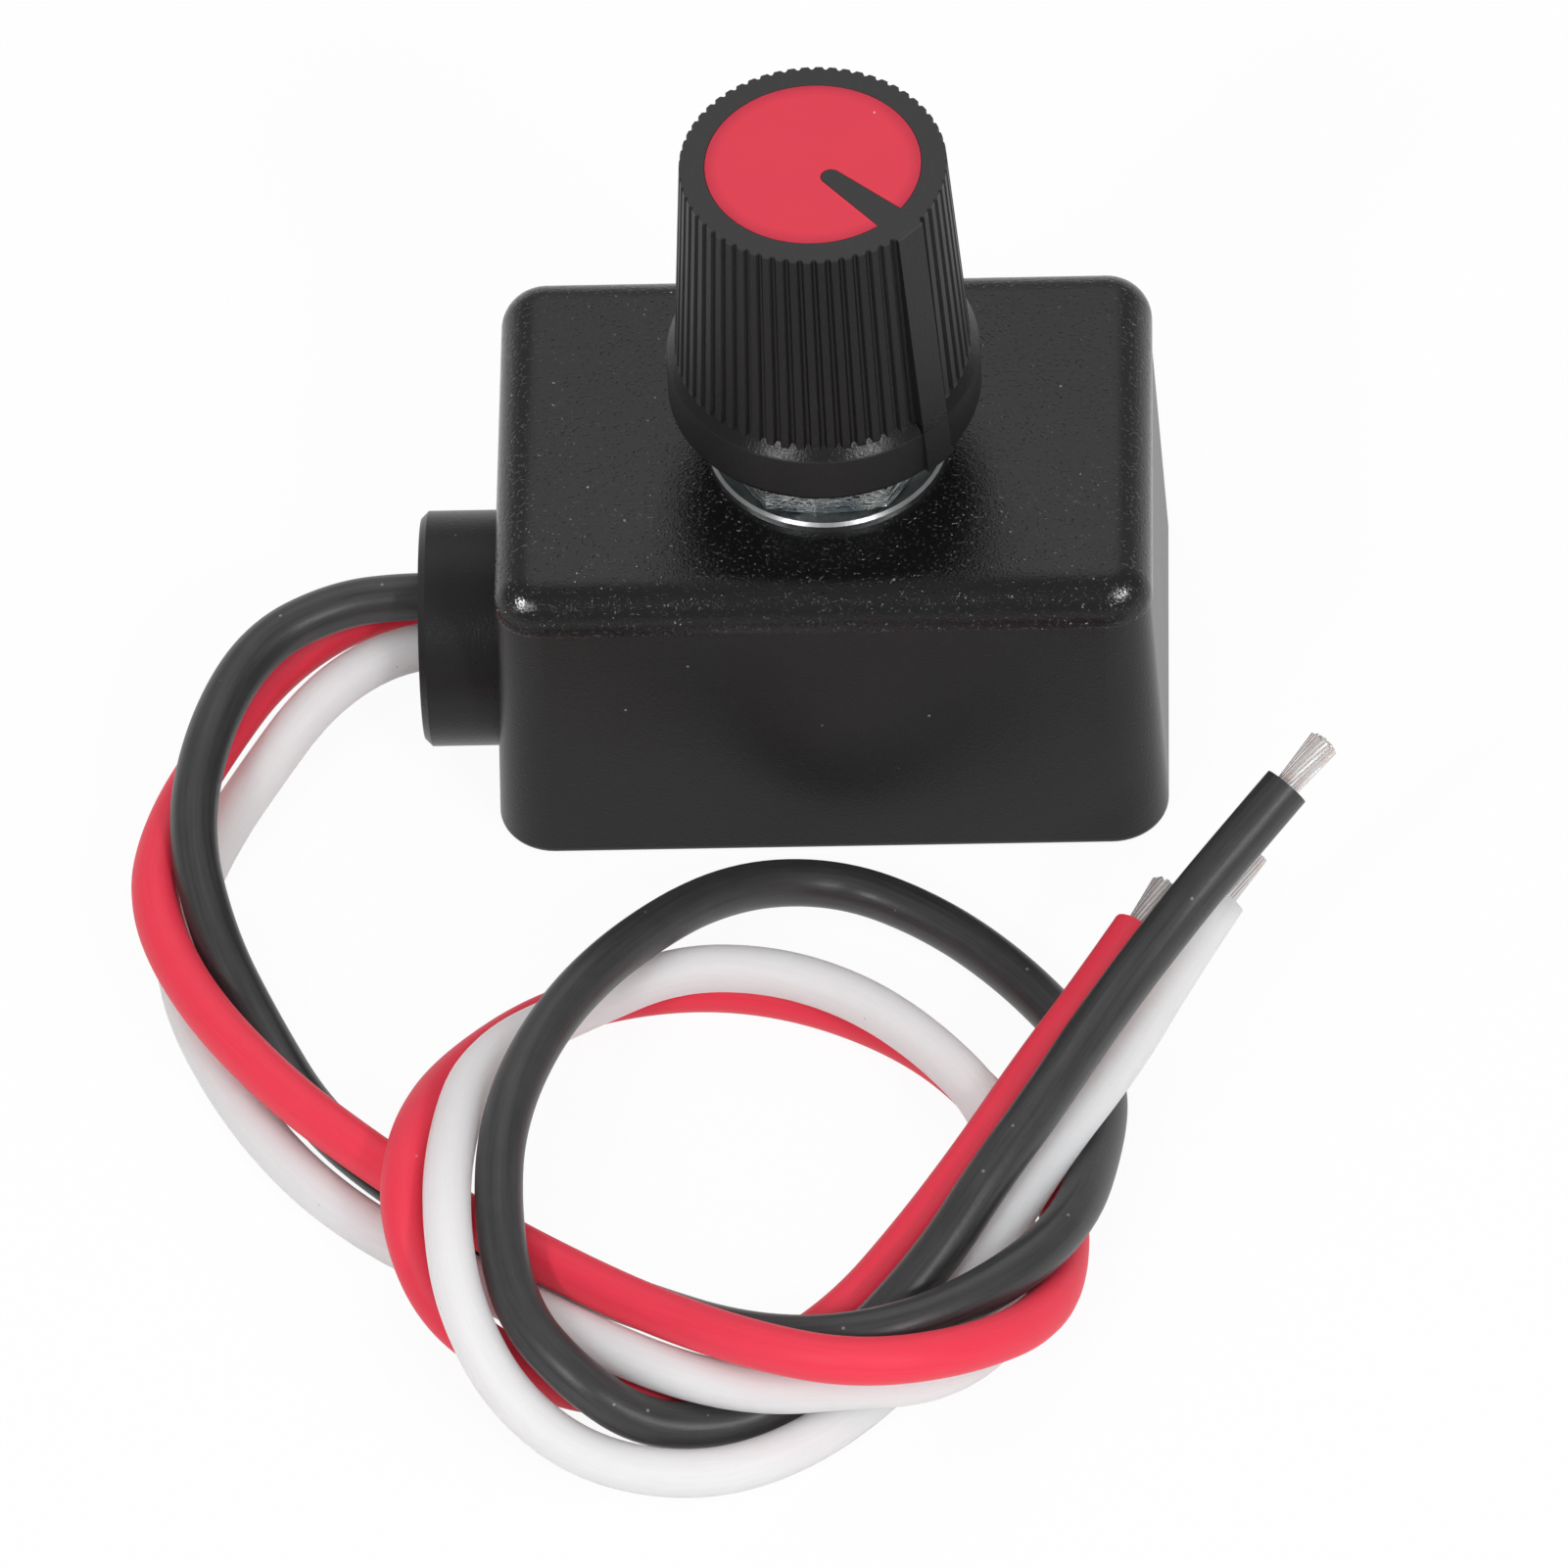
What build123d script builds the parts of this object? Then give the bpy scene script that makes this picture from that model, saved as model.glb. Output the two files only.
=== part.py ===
from build123d import *
import math
import os

os.makedirs("parts", exist_ok=True)

# Rotary dimmer: a moulded box with a potentiometer under its lid, a fluted knob on top,
# and three wires that leave through a round sleeve and are tied in an overhand knot.
# Millimetres. The origin is on the knob's axis, on the surface that the box stands on.

# Housing, measured at the seam between base and lid
housing_length = 31.5
housing_width = 22.2
housing_height = 17.3
axis_from_left = 16.0
axis_from_front = 10.4
wall = 1.6
floor_thickness = 1.6
corner_radius = 2.2
inner_corner_radius = 0.6
bottom_edge_radius = 0.5
draft_angle = 2.1
lid_edge_radius = 2.0
lid_band = 0.1
lid_overhang = 0.12
tongue_height = 0.8
tongue_thickness = 0.7
seam_clearance = 0.05

# Cable sleeve on the left wall
sleeve_diameter = 11.4
sleeve_bore = 7.0
sleeve_length = 4.0
sleeve_y = -1.2
sleeve_z = 5.85
sleeve_edge_chamfer = 0.35

# Circuit board and the posts that carry it
board_standoff = 1.2
board_thickness = 1.2
board_clearance = 0.4
post_diameter = 2.8
post_inset_end = 5.0
post_inset_side = 1.7
peg_diameter = 1.4
peg_setback = 0.1
peg_clearance = 0.1

# Potentiometer, seated under the lid
shaft_diameter = 6.0
shaft_reach = 15.0
shaft_clearance = 0.03
shaft_flange = 0.7
shaft_end_play = 0.1
knurl_count = 18
knurl_depth = 0.25
knurl_length = 6.0
shaft_slot_width = 1.0
shaft_tip_chamfer = 0.4
spigot_diameter = 4.2
spigot_flat = 0.5
spigot_proud = 0.3
spigot_clearance = 0.03
bushing_diameter = 7.0
bushing_length = 5.5
bushing_clearance = 0.1
ring_thickness = 0.5
ring_width = 1.2
ring_groove_depth = 0.5
ring_clearance = 0.05
ring_opening = 70
pot_diameter = 16.0
pot_depth = 8.0
plate_thickness = 1.2
plate_setback = 0.1
lug_length = 2.6
lug_width = 1.0
lug_height = 1.2
lug_setback = 0.6
lug_clearance = 0.1
can_sheet = 0.4
can_tab_width = 1.8
can_tab_angles = (100, 160, 200, 260)
can_clearance = 0.1
wafer_thickness = 1.2
wafer_tongue_width = 14.0
wafer_tongue_reach = 3.0
wafer_running_gap = 0.3
wiper_gap = 0.5
wiper_sheet = 0.2
wiper_width = 1.6
wiper_contact_clearance = 0.05
rotor_thickness = 2.6
rotor_running_gap = 0.3
stop_depth = 0.9
stop_height = 1.8
stop_angle = 24
rotor_stop_angle = 34
terminal_pitch = 5.0
terminal_sheet = 0.5
terminal_width = 2.0
terminal_tip_width = 1.2
terminal_inset = 2.2
terminal_overrun = 0.5
rivet_diameter = 1.1
rivet_head_diameter = 1.7
rivet_head_height = 0.3
rivet_inset = 1.3
rivet_clearance = 0.05

# Nut and washer on the bushing
washer_diameter = 11.6
washer_thickness = 0.5
washer_edge_chamfer = 0.15
washer_clearance = 0.15
nut_across_flats = 10.0
nut_height = 2.0
nut_bevel = 0.4
thread_clearance = 0.05

# Knob
knob_gap = 4.0
knob_height = 15.45
skirt_diameter = 15.0
skirt_height = 2.7
skirt_edge_radius = 0.4
shoulder_height = 0.65
flute_count = 60
flute_depth = 0.22
flute_depth_at_top = 0.16
crest_share = 0.48
valley_share = 0.14
knob_root_diameter = 13.76
knob_top_diameter = 12.68
knob_wall = 1.2
knob_recess_height = 1.4
knob_roof = 3.0
boss_diameter = 9.0
boss_rib_count = 4
boss_rib_thickness = 0.8
boss_rib_start = 45
socket_clearance = 0.05
cap_diameter = 10.24
cap_depth = 1.2
cap_clearance = 0.03
pointer_angle = -44
pointer_width = 0.93
pointer_foot_width = 1.5
pointer_start = 1.2
pointer_rib_width = 1.6
pointer_rib_proud = 0.25
pointer_rib_rise = 0.3

# Small parts on the board
lead_clearance = 0.05
lead_overrun = 0.7
solder_height = 0.9
solder_flare = 0.35
solder_clearance = 0.03
transistor_at = (-2.6, 3.9)
transistor_length = 6.1
transistor_width = 6.6
transistor_share = 0.72
transistor_tab_reach = 1.1
transistor_tab_sheet = 0.5
transistor_lead_reach = 2.4
transistor_lead_width = 0.8
transistor_lead_pitch = 2.3
chip_at = (4.4, -4.6)
chip_length = 4.9
chip_width = 3.9
chip_share = 0.44
chip_foot_gap = 0.15
chip_leads_per_side = 4
chip_lead_pitch = 1.27
chip_lead_width = 0.4
chip_lead_sheet = 0.2
chip_lead_reach = 1.0
capacitor_share = 0.6
capacitor_middle = 0.42
capacitor_clearance = 0.5
capacitor_height = 7.0
capacitor_lead_pitch = 2.0
capacitor_lead_diameter = 0.5
capacitor_groove_depth = 0.2
capacitor_groove_rise = 1.2
diode_at = (6.2, 4.9)
diode_length = 4.3
diode_width = 2.6
diode_share = 0.69
diode_strap_sheet = 0.3
diode_strap_reach = 0.5
diode_strap_width = 1.5
resistor_length = 2.0
resistor_width = 1.25
resistor_height = 0.5
resistor_points = ((-5.2, -5.4), (-5.2, -3.0), (-1.4, -5.4), (-1.4, -3.0), (1.5, -0.6), (4.5, -0.6))

# Wires: routes through the sleeve and the overhand knot to the stripped ends
wire_diameter = 2.3
conductor_diameter = 1.2
bare_length = 3.0
pad_x = -9.4
inner_bend_radius = 0.8
arc_share = 0.45
black_route = [
    (-11.2, -0.4, 6.6), (-14.2, -0.7, 7.3), (-17.4, -0.8, 7.6), (-20.8, -0.8, 7.8),
    (-24.2, -1.3, 7.8), (-27.8, -3.3, 7.4), (-30.1, -7.7, 6.6), (-31.1, -13.4, 5.4),
    (-29.8, -18.9, 3.7), (-27.6, -23.0, 1.8), (-24.7, -28.6, 1.2), (-19.9, -33.5, 1.2),
    (-14.7, -37.4, 1.2), (-9.4, -40.4, 1.5), (-4.0, -44.5, 3.7), (1.3, -46.1, 5.4),
    (6.5, -43.9, 5.2), (11.4, -39.1, 4.7), (12.9, -30.8, 2.2), (12.7, -25.9, 1.2),
    (9.2, -20.6, 1.2), (4.8, -16.3, 1.2), (-0.2, -13.9, 1.4), (-5.5, -16.2, 3.6),
    (-10.3, -22.8, 6.7), (-13.6, -28.0, 7.2), (-15.5, -33.9, 7.2), (-15.6, -39.4, 6.2),
    (-14.6, -44.0, 5.0), (-11.8, -47.1, 3.9), (-8.7, -48.4, 2.1), (-4.6, -47.8, 1.2),
    (-1.5, -46.3, 1.7), (2.1, -43.6, 3.2), (5.3, -40.3, 4.9), (7.5, -37.2, 6.5),
    (9.9, -34.0, 7.6), (12.9, -28.5, 8.0), (16.8, -23.5, 9.8), (19.4, -21.0, 11.5),
    (21.8, -18.7, 13.0),
]
red_route = [
    (-11.2, 1.7, 5.3), (-14.2, 1.0, 5.6), (-17.4, 0.9, 5.7), (-20.6, 0.7, 5.6),
    (-24.0, -0.1, 5.3), (-27.6, -2.8, 4.5), (-30.2, -7.0, 3.7), (-32.4, -12.0, 3.6),
    (-32.9, -16.9, 3.7), (-30.8, -22.5, 3.7), (-26.7, -28.2, 3.7), (-22.3, -32.4, 3.5),
    (-17.9, -36.1, 3.4), (-13.3, -39.5, 3.5), (-8.5, -43.3, 4.5), (-3.5, -47.2, 6.4),
    (1.4, -49.0, 7.0), (6.5, -47.3, 5.8), (10.3, -43.1, 3.2), (11.2, -37.2, 1.3),
    (10.5, -32.7, 1.2), (8.0, -29.0, 1.2), (5.6, -25.8, 1.2), (2.6, -23.3, 1.2),
    (-1.4, -21.3, 1.2), (-5.6, -20.4, 1.2), (-9.9, -20.7, 1.2), (-14.4, -22.3, 1.3),
    (-18.5, -28.2, 3.6), (-19.9, -34.0, 6.1), (-20.2, -38.1, 5.5), (-18.8, -41.3, 2.9),
    (-15.9, -43.2, 1.2), (-11.9, -45.5, 1.2), (-7.8, -45.7, 1.2), (-3.7, -44.6, 1.2),
    (0.6, -41.1, 1.2), (4.0, -37.8, 3.2), (6.9, -34.8, 5.4), (9.6, -30.1, 5.9),
    (12.3, -25.8, 6.5), (14.2, -22.5, 7.2),
]
white_route = [
    (-11.2, -2.6, 5.3), (-14.2, -2.0, 5.2), (-17.4, -1.7, 5.3), (-20.4, -1.8, 5.3),
    (-23.0, -2.8, 5.0), (-25.5, -4.6, 4.1), (-27.7, -7.4, 2.8), (-29.9, -10.6, 1.6),
    (-31.8, -16.0, 1.2), (-31.3, -20.9, 1.2), (-28.8, -26.8, 1.2), (-25.5, -31.9, 1.2),
    (-21.3, -35.9, 1.2), (-16.5, -38.9, 1.3), (-11.8, -43.6, 3.1), (-7.0, -46.9, 3.9),
    (-3.0, -47.8, 3.7), (0.8, -47.5, 3.7), (4.8, -46.7, 3.0), (8.0, -42.8, 1.3),
    (8.8, -38.1, 1.2), (8.1, -34.0, 2.0), (7.8, -30.6, 3.5), (4.7, -26.5, 3.7),
    (1.1, -23.3, 3.7), (-3.1, -21.5, 3.7), (-7.6, -21.3, 3.6), (-11.7, -23.5, 3.6),
    (-16.8, -28.5, 5.7), (-18.0, -35.7, 7.3), (-17.9, -41.0, 7.0), (-17.1, -44.4, 5.4),
    (-15.1, -47.5, 3.2), (-11.6, -49.8, 1.5), (-6.8, -50.9, 1.2), (-2.4, -49.8, 1.2),
    (1.8, -46.5, 1.2), (5.2, -42.4, 1.9), (7.7, -38.9, 3.8), (10.4, -34.5, 5.2),
    (13.7, -29.1, 5.3), (16.2, -24.2, 6.0), (18.9, -20.6, 7.5),
]

# Levels and places that several pieces share
lid_thickness = lid_edge_radius + lid_band
seam_z = housing_height - lid_thickness
box_centre = (housing_length / 2 - axis_from_left, housing_width / 2 - axis_from_front)
left_inner_face = wall - axis_from_left
inner_length = housing_length - 2 * wall
inner_width = housing_width - 2 * wall
board_bottom = floor_thickness + board_standoff
board_top = board_bottom + board_thickness
board_length = inner_length - 2 * board_clearance
board_width = inner_width - 2 * board_clearance
plate_bottom = seam_z - plate_thickness
wafer_bottom = plate_bottom - wafer_thickness
rotor_top = wafer_bottom - wiper_gap
rotor_bottom = rotor_top - rotor_thickness
can_bottom = seam_z - pot_depth
can_inner_radius = pot_diameter / 2 - can_sheet
flange_top = plate_bottom - shaft_end_play
flange_bottom = rotor_top
flange_radius = shaft_diameter / 2 + shaft_flange
shaft_top = seam_z + shaft_reach
bushing_top = seam_z + bushing_length
ring_bottom = bushing_top + ring_clearance
washer_top = housing_height + washer_thickness
knob_bottom = housing_height + knob_gap
knob_top = knob_bottom + knob_height
wafer_edge = pot_diameter / 2 + wafer_tongue_reach
rivet_x = wafer_edge - rivet_inset
terminal_x = wafer_edge + terminal_sheet
terminal_rows = [-terminal_pitch, 0, terminal_pitch]
wire_routes = {"wire_black": black_route, "wire_red": red_route, "wire_white": white_route}


def on_board(point):
    """Turn a place measured from the board's centre into the dimmer's frame."""
    return (box_centre[0] + point[0], box_centre[1] + point[1])


def pad_corner(route):
    """Carry a wire's first run back to the column of pads, where its conductor turns down."""
    start = Vector(route[0])
    run = Vector(route[1]) - start
    return start + run * ((pad_x - start.X) / run.X)


# The parts on the board fill shares of the room under the can, and of the room behind the red wire
can_room = can_bottom - board_top
transistor_height = transistor_share * can_room
chip_height = chip_share * can_room
diode_height = diode_share * can_room
back_inner_face = housing_width - axis_from_front - wall
red_wire_edge = pad_corner(red_route).Y + conductor_diameter / 2
wire_room = back_inner_face - red_wire_edge
capacitor_radius = capacitor_share * wire_room / 2
capacitor_centre = (
    box_centre[0] - board_length / 2 + capacitor_clearance + capacitor_radius,
    red_wire_edge + capacitor_middle * wire_room,
)


def finish(piece, node):
    piece.part.label = node
    export_step(piece.part, f"parts/{node}.step")


# Housing base: a drafted tub with the cable sleeve, a tongue round its rim and board posts
draft_spread = seam_z * math.tan(math.radians(draft_angle))
base_length = housing_length - 2 * lid_overhang + 2 * draft_spread
base_width = housing_width - 2 * lid_overhang + 2 * draft_spread
post_columns = board_length - 2 * post_inset_end
post_rows = board_width - 2 * post_inset_side

with BuildPart() as housing_base:
    with BuildSketch():
        with Locations(box_centre):
            RectangleRounded(base_length, base_width, corner_radius + draft_spread)
    extrude(amount=seam_z, taper=draft_angle)
    fillet(housing_base.faces().sort_by(Axis.Z)[0].edges(), bottom_edge_radius)
    with BuildSketch(Plane.YZ.offset(left_inner_face)):
        with Locations((sleeve_y, sleeve_z)):
            Circle(sleeve_diameter / 2)
    extrude(amount=-(wall + sleeve_length))
    chamfer(housing_base.faces().sort_by(Axis.X)[0].edges(), sleeve_edge_chamfer)
    with BuildSketch(Plane.XY.offset(floor_thickness)):
        with Locations(box_centre):
            RectangleRounded(inner_length, inner_width, inner_corner_radius)
    extrude(amount=housing_height, mode=Mode.SUBTRACT)
    with BuildSketch(Plane.XY.offset(seam_z)):
        with Locations(box_centre):
            RectangleRounded(
                inner_length + 2 * tongue_thickness,
                inner_width + 2 * tongue_thickness,
                inner_corner_radius + tongue_thickness,
            )
            RectangleRounded(inner_length, inner_width, inner_corner_radius, mode=Mode.SUBTRACT)
    extrude(amount=tongue_height)
    with BuildSketch(Plane.YZ.offset(left_inner_face)):
        with Locations((sleeve_y, sleeve_z)):
            Circle(sleeve_bore / 2)
    extrude(amount=-(wall + sleeve_length), mode=Mode.SUBTRACT)
    with BuildSketch(Plane.XY.offset(floor_thickness)):
        with Locations(box_centre):
            with GridLocations(post_columns, post_rows, 2, 2):
                Circle(post_diameter / 2)
    extrude(amount=board_standoff)
    with BuildSketch(Plane.XY.offset(board_bottom)):
        with Locations(box_centre):
            with GridLocations(post_columns, post_rows, 2, 2):
                Circle(peg_diameter / 2)
    extrude(amount=board_thickness - peg_setback)
finish(housing_base, "housing_base")

# Housing lid: rounded cover with a groove for the tongue, the bushing hole and a lug recess
lug_radius = pot_diameter / 2 - plate_setback - lug_setback - lug_width / 2

with BuildPart() as housing_lid:
    with BuildSketch(Plane.XY.offset(seam_z)):
        with Locations(box_centre):
            RectangleRounded(housing_length, housing_width, corner_radius)
    extrude(amount=lid_thickness)
    fillet(housing_lid.faces().sort_by(Axis.Z)[-1].edges(), lid_edge_radius)
    with BuildSketch(Plane.XY.offset(seam_z)):
        with Locations(box_centre):
            RectangleRounded(
                inner_length + 2 * (tongue_thickness + seam_clearance),
                inner_width + 2 * (tongue_thickness + seam_clearance),
                inner_corner_radius + tongue_thickness + seam_clearance,
            )
            RectangleRounded(
                inner_length - 2 * seam_clearance,
                inner_width - 2 * seam_clearance,
                inner_corner_radius - seam_clearance,
                mode=Mode.SUBTRACT,
            )
    extrude(amount=tongue_height + seam_clearance, mode=Mode.SUBTRACT)
    with BuildSketch(Plane.XY.offset(seam_z)):
        Circle(bushing_diameter / 2 + bushing_clearance)
    extrude(amount=lid_thickness, mode=Mode.SUBTRACT)
    with BuildSketch(Plane.XY.offset(seam_z)):
        with Locations((-lug_radius, 0)):
            Rectangle(lug_width + 2 * lug_clearance, lug_length + 2 * lug_clearance)
    extrude(amount=lug_height + lug_clearance, mode=Mode.SUBTRACT)
finish(housing_lid, "housing_lid")

# Potentiometer bushing: cast face plate, round bushing and the lug that stops it turning
plate_radius = pot_diameter / 2 - plate_setback
tab_slot_depth = can_sheet + can_clearance - plate_setback

with BuildPart() as potentiometer_bushing:
    with BuildSketch(Plane.XY.offset(plate_bottom)):
        Circle(plate_radius)
        for angle in can_tab_angles:
            with PolarLocations(plate_radius - tab_slot_depth / 2, 1, start_angle=angle):
                Rectangle(
                    tab_slot_depth + 2 * can_clearance,
                    can_tab_width + 2 * can_clearance,
                    mode=Mode.SUBTRACT,
                )
    extrude(amount=plate_thickness)
    with BuildSketch(Plane.XY.offset(seam_z)):
        Circle(bushing_diameter / 2)
    extrude(amount=bushing_length)
    chamfer(potentiometer_bushing.faces().sort_by(Axis.Z)[-1].edges(), shaft_tip_chamfer / 2)
    with BuildSketch(Plane.XY.offset(seam_z)):
        with Locations((-lug_radius, 0)):
            Rectangle(lug_width, lug_length)
    extrude(amount=lug_height)
    with BuildSketch(Plane.XY.offset(plate_bottom)):
        Circle(shaft_diameter / 2 + shaft_clearance)
    extrude(amount=plate_thickness + bushing_length, mode=Mode.SUBTRACT)
finish(potentiometer_bushing, "potentiometer_bushing")

# Potentiometer can: drawn cup with tabs through the face plate, a mouth for the wafer's
# tongue and a pressed-in stop that limits the rotor
with BuildPart() as potentiometer_can:
    with BuildSketch(Plane.XY.offset(can_bottom)):
        Circle(pot_diameter / 2)
    extrude(amount=plate_bottom - can_bottom)
    chamfer(potentiometer_can.faces().sort_by(Axis.Z)[0].edges(), can_sheet / 2)
    with BuildSketch(Plane.XY.offset(can_bottom + can_sheet)):
        Circle(can_inner_radius)
    extrude(amount=pot_depth, mode=Mode.SUBTRACT)
    with BuildSketch(Plane.XY.offset(wafer_bottom)):
        with Locations((pot_diameter / 2, 0)):
            Rectangle(pot_diameter, wafer_tongue_width + 2 * can_clearance)
    extrude(amount=wafer_thickness, mode=Mode.SUBTRACT)
    with BuildSketch(Plane.XY.offset(plate_bottom)):
        for angle in can_tab_angles:
            with PolarLocations(pot_diameter / 2 - can_sheet / 2, 1, start_angle=angle):
                Rectangle(can_sheet, can_tab_width)
        Circle(can_inner_radius, mode=Mode.SUBTRACT)
    extrude(amount=plate_thickness - can_clearance)
    with BuildSketch(Plane.XY.offset(rotor_bottom)):
        with BuildLine():
            stop_outer = CenterArc((0, 0), can_inner_radius + can_sheet / 2, -stop_angle / 2, stop_angle)
            stop_inner = CenterArc((0, 0), can_inner_radius - stop_depth, -stop_angle / 2, stop_angle)
            Line(stop_outer @ 0, stop_inner @ 0)
            Line(stop_outer @ 1, stop_inner @ 1)
        make_face()
    extrude(amount=stop_height)
finish(potentiometer_can, "potentiometer_can")

# Potentiometer wafer: track board with a tongue that carries the terminals
with BuildPart() as potentiometer_wafer:
    with BuildSketch(Plane.XY.offset(wafer_bottom)):
        Circle(can_inner_radius - can_clearance)
        with Locations((wafer_edge / 2, 0)):
            Rectangle(wafer_edge, wafer_tongue_width)
        Circle(flange_radius + wafer_running_gap, mode=Mode.SUBTRACT)
        with Locations([(rivet_x, row) for row in terminal_rows]):
            Circle(rivet_diameter / 2 + rivet_clearance, mode=Mode.SUBTRACT)
    extrude(amount=wafer_thickness)
finish(potentiometer_wafer, "potentiometer_wafer")

# Terminals: flat lugs under the tongue, bent down to the board and narrowed at their tips
tip_top = board_top + terminal_width
terminal_bend = terminal_sheet

with BuildPart() as potentiometer_terminals:
    for row in terminal_rows:
        with BuildSketch(Plane.XZ.offset(-row)):
            with BuildLine():
                Polyline(
                    (wafer_edge - terminal_inset, wafer_bottom),
                    (terminal_x - terminal_bend, wafer_bottom),
                    (terminal_x, wafer_bottom - terminal_bend),
                    (terminal_x, tip_top),
                    (terminal_x - terminal_sheet, tip_top),
                    (terminal_x - terminal_sheet, wafer_bottom - terminal_sheet - terminal_bend / 2),
                    (terminal_x - terminal_sheet - terminal_bend / 2, wafer_bottom - terminal_sheet),
                    (wafer_edge - terminal_inset, wafer_bottom - terminal_sheet),
                    close=True,
                )
            make_face()
        extrude(amount=terminal_width / 2, both=True)
        with BuildSketch(Plane.XY.offset(tip_top)):
            with Locations((terminal_x - terminal_sheet / 2, row)):
                Rectangle(terminal_sheet, terminal_tip_width)
        extrude(amount=-(tip_top - board_bottom + terminal_overrun))
        with BuildSketch(Plane.XY.offset(wafer_bottom)):
            with Locations((rivet_x, row)):
                Circle(rivet_diameter / 2 + rivet_clearance)
        extrude(amount=-terminal_sheet, mode=Mode.SUBTRACT)
finish(potentiometer_terminals, "potentiometer_terminals")

# Rivets that hold the terminals to the tongue
rivet_grip = wafer_thickness + terminal_sheet

with BuildPart() as terminal_rivets:
    with Locations([(rivet_x, row, wafer_bottom - terminal_sheet) for row in terminal_rows]):
        Cylinder(rivet_diameter / 2, rivet_grip, align=(Align.CENTER, Align.CENTER, Align.MIN))
        with Locations((0, 0, rivet_grip)):
            Cylinder(
                rivet_head_diameter / 2,
                rivet_head_height,
                align=(Align.CENTER, Align.CENTER, Align.MIN),
            )
        with Locations((0, 0, 0)):
            Cylinder(
                rivet_head_diameter / 2,
                rivet_head_height,
                align=(Align.CENTER, Align.CENTER, Align.MAX),
            )
finish(terminal_rivets, "terminal_rivets")

# Rotor: moulded disc on the shaft's spigot, with the lug that meets the can's stop
rotor_radius = can_inner_radius - stop_depth - rotor_running_gap
rotor_lug_radius = can_inner_radius - rotor_running_gap
rotor_lug_start = pointer_angle - rotor_stop_angle / 2

with BuildPart() as potentiometer_rotor:
    with BuildSketch(Plane.XY.offset(rotor_bottom)):
        Circle(rotor_radius)
    extrude(amount=rotor_thickness)
    with BuildSketch(Plane.XY.offset(rotor_bottom)):
        with BuildLine():
            lug_outer = CenterArc((0, 0), rotor_lug_radius, rotor_lug_start, rotor_stop_angle)
            Line((0, 0), lug_outer @ 0)
            Line((0, 0), lug_outer @ 1)
        make_face()
    extrude(amount=stop_height)
    with BuildSketch(Plane.XY.offset(rotor_bottom)):
        Circle(spigot_diameter / 2 + spigot_clearance)
        Rectangle(
            spigot_diameter - 2 * (spigot_flat - spigot_clearance),
            2 * spigot_diameter,
            mode=Mode.INTERSECT,
        )
    extrude(amount=rotor_thickness, mode=Mode.SUBTRACT)
finish(potentiometer_rotor, "potentiometer_rotor")

# Wiper: sprung ring on the rotor with two raised contacts that run on the track
wiper_inner = flange_radius + wafer_running_gap
wiper_outer = wiper_inner + wiper_width
contact_height = wiper_gap - wiper_contact_clearance

with BuildPart() as wiper_spring:
    with BuildSketch(Plane.XY.offset(rotor_top)):
        Circle(wiper_outer)
        Circle(wiper_inner, mode=Mode.SUBTRACT)
    extrude(amount=wiper_sheet)
    with BuildSketch(Plane.XY.offset(rotor_top)):
        with PolarLocations((wiper_inner + wiper_outer) / 2, 2, start_angle=pointer_angle):
            SlotOverall(wiper_width, wiper_width / 2)
    extrude(amount=contact_height)
finish(wiper_spring, "wiper_spring")

# Shaft: flanged, knurled and slotted, with a groove for its ring and a flatted spigot
groove_radius = shaft_diameter / 2 - ring_groove_depth
groove_top = ring_bottom + ring_thickness + ring_clearance
spigot_bottom = rotor_bottom - spigot_proud

with BuildPart() as potentiometer_shaft:
    with BuildSketch(Plane.XZ):
        with BuildLine():
            Polyline(
                (0, flange_bottom),
                (flange_radius, flange_bottom),
                (flange_radius, flange_top),
                (shaft_diameter / 2, flange_top),
                (shaft_diameter / 2, ring_bottom),
                (groove_radius, ring_bottom),
                (groove_radius, groove_top),
                (shaft_diameter / 2, groove_top),
                (shaft_diameter / 2, shaft_top - shaft_tip_chamfer),
                (shaft_diameter / 2 - shaft_tip_chamfer, shaft_top),
                (0, shaft_top),
                close=True,
            )
        make_face()
    revolve(axis=Axis.Z)
    with BuildSketch(Plane.XY.offset(flange_bottom)):
        Circle(spigot_diameter / 2)
        Rectangle(spigot_diameter - 2 * spigot_flat, 2 * spigot_diameter, mode=Mode.INTERSECT)
    extrude(amount=spigot_bottom - flange_bottom)
    with BuildSketch(Plane.XY.offset(shaft_top)):
        with PolarLocations(shaft_diameter / 2, knurl_count):
            Rectangle(2 * knurl_depth / math.sqrt(2), 2 * knurl_depth / math.sqrt(2), rotation=45)
    extrude(amount=-knurl_length, mode=Mode.SUBTRACT)
    with BuildSketch(Plane.XY.offset(shaft_top)):
        Rectangle(2 * shaft_diameter, shaft_slot_width)
    extrude(amount=-knurl_length, mode=Mode.SUBTRACT)
finish(potentiometer_shaft, "potentiometer_shaft")

# Retaining ring: open ring in the shaft's groove, just above the bushing
ring_inner = groove_radius + ring_clearance
ring_outer = ring_inner + ring_width
ring_arc = 360 - ring_opening

with BuildPart() as shaft_retaining_ring:
    with BuildSketch(Plane.XY.offset(ring_bottom)):
        with BuildLine():
            outer_arc = CenterArc((0, 0), ring_outer, ring_opening / 2, ring_arc)
            inner_arc = CenterArc((0, 0), ring_inner, ring_opening / 2, ring_arc)
            Line(outer_arc @ 0, inner_arc @ 0)
            Line(outer_arc @ 1, inner_arc @ 1)
        make_face()
    extrude(amount=ring_thickness)
finish(shaft_retaining_ring, "shaft_retaining_ring")

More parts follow.
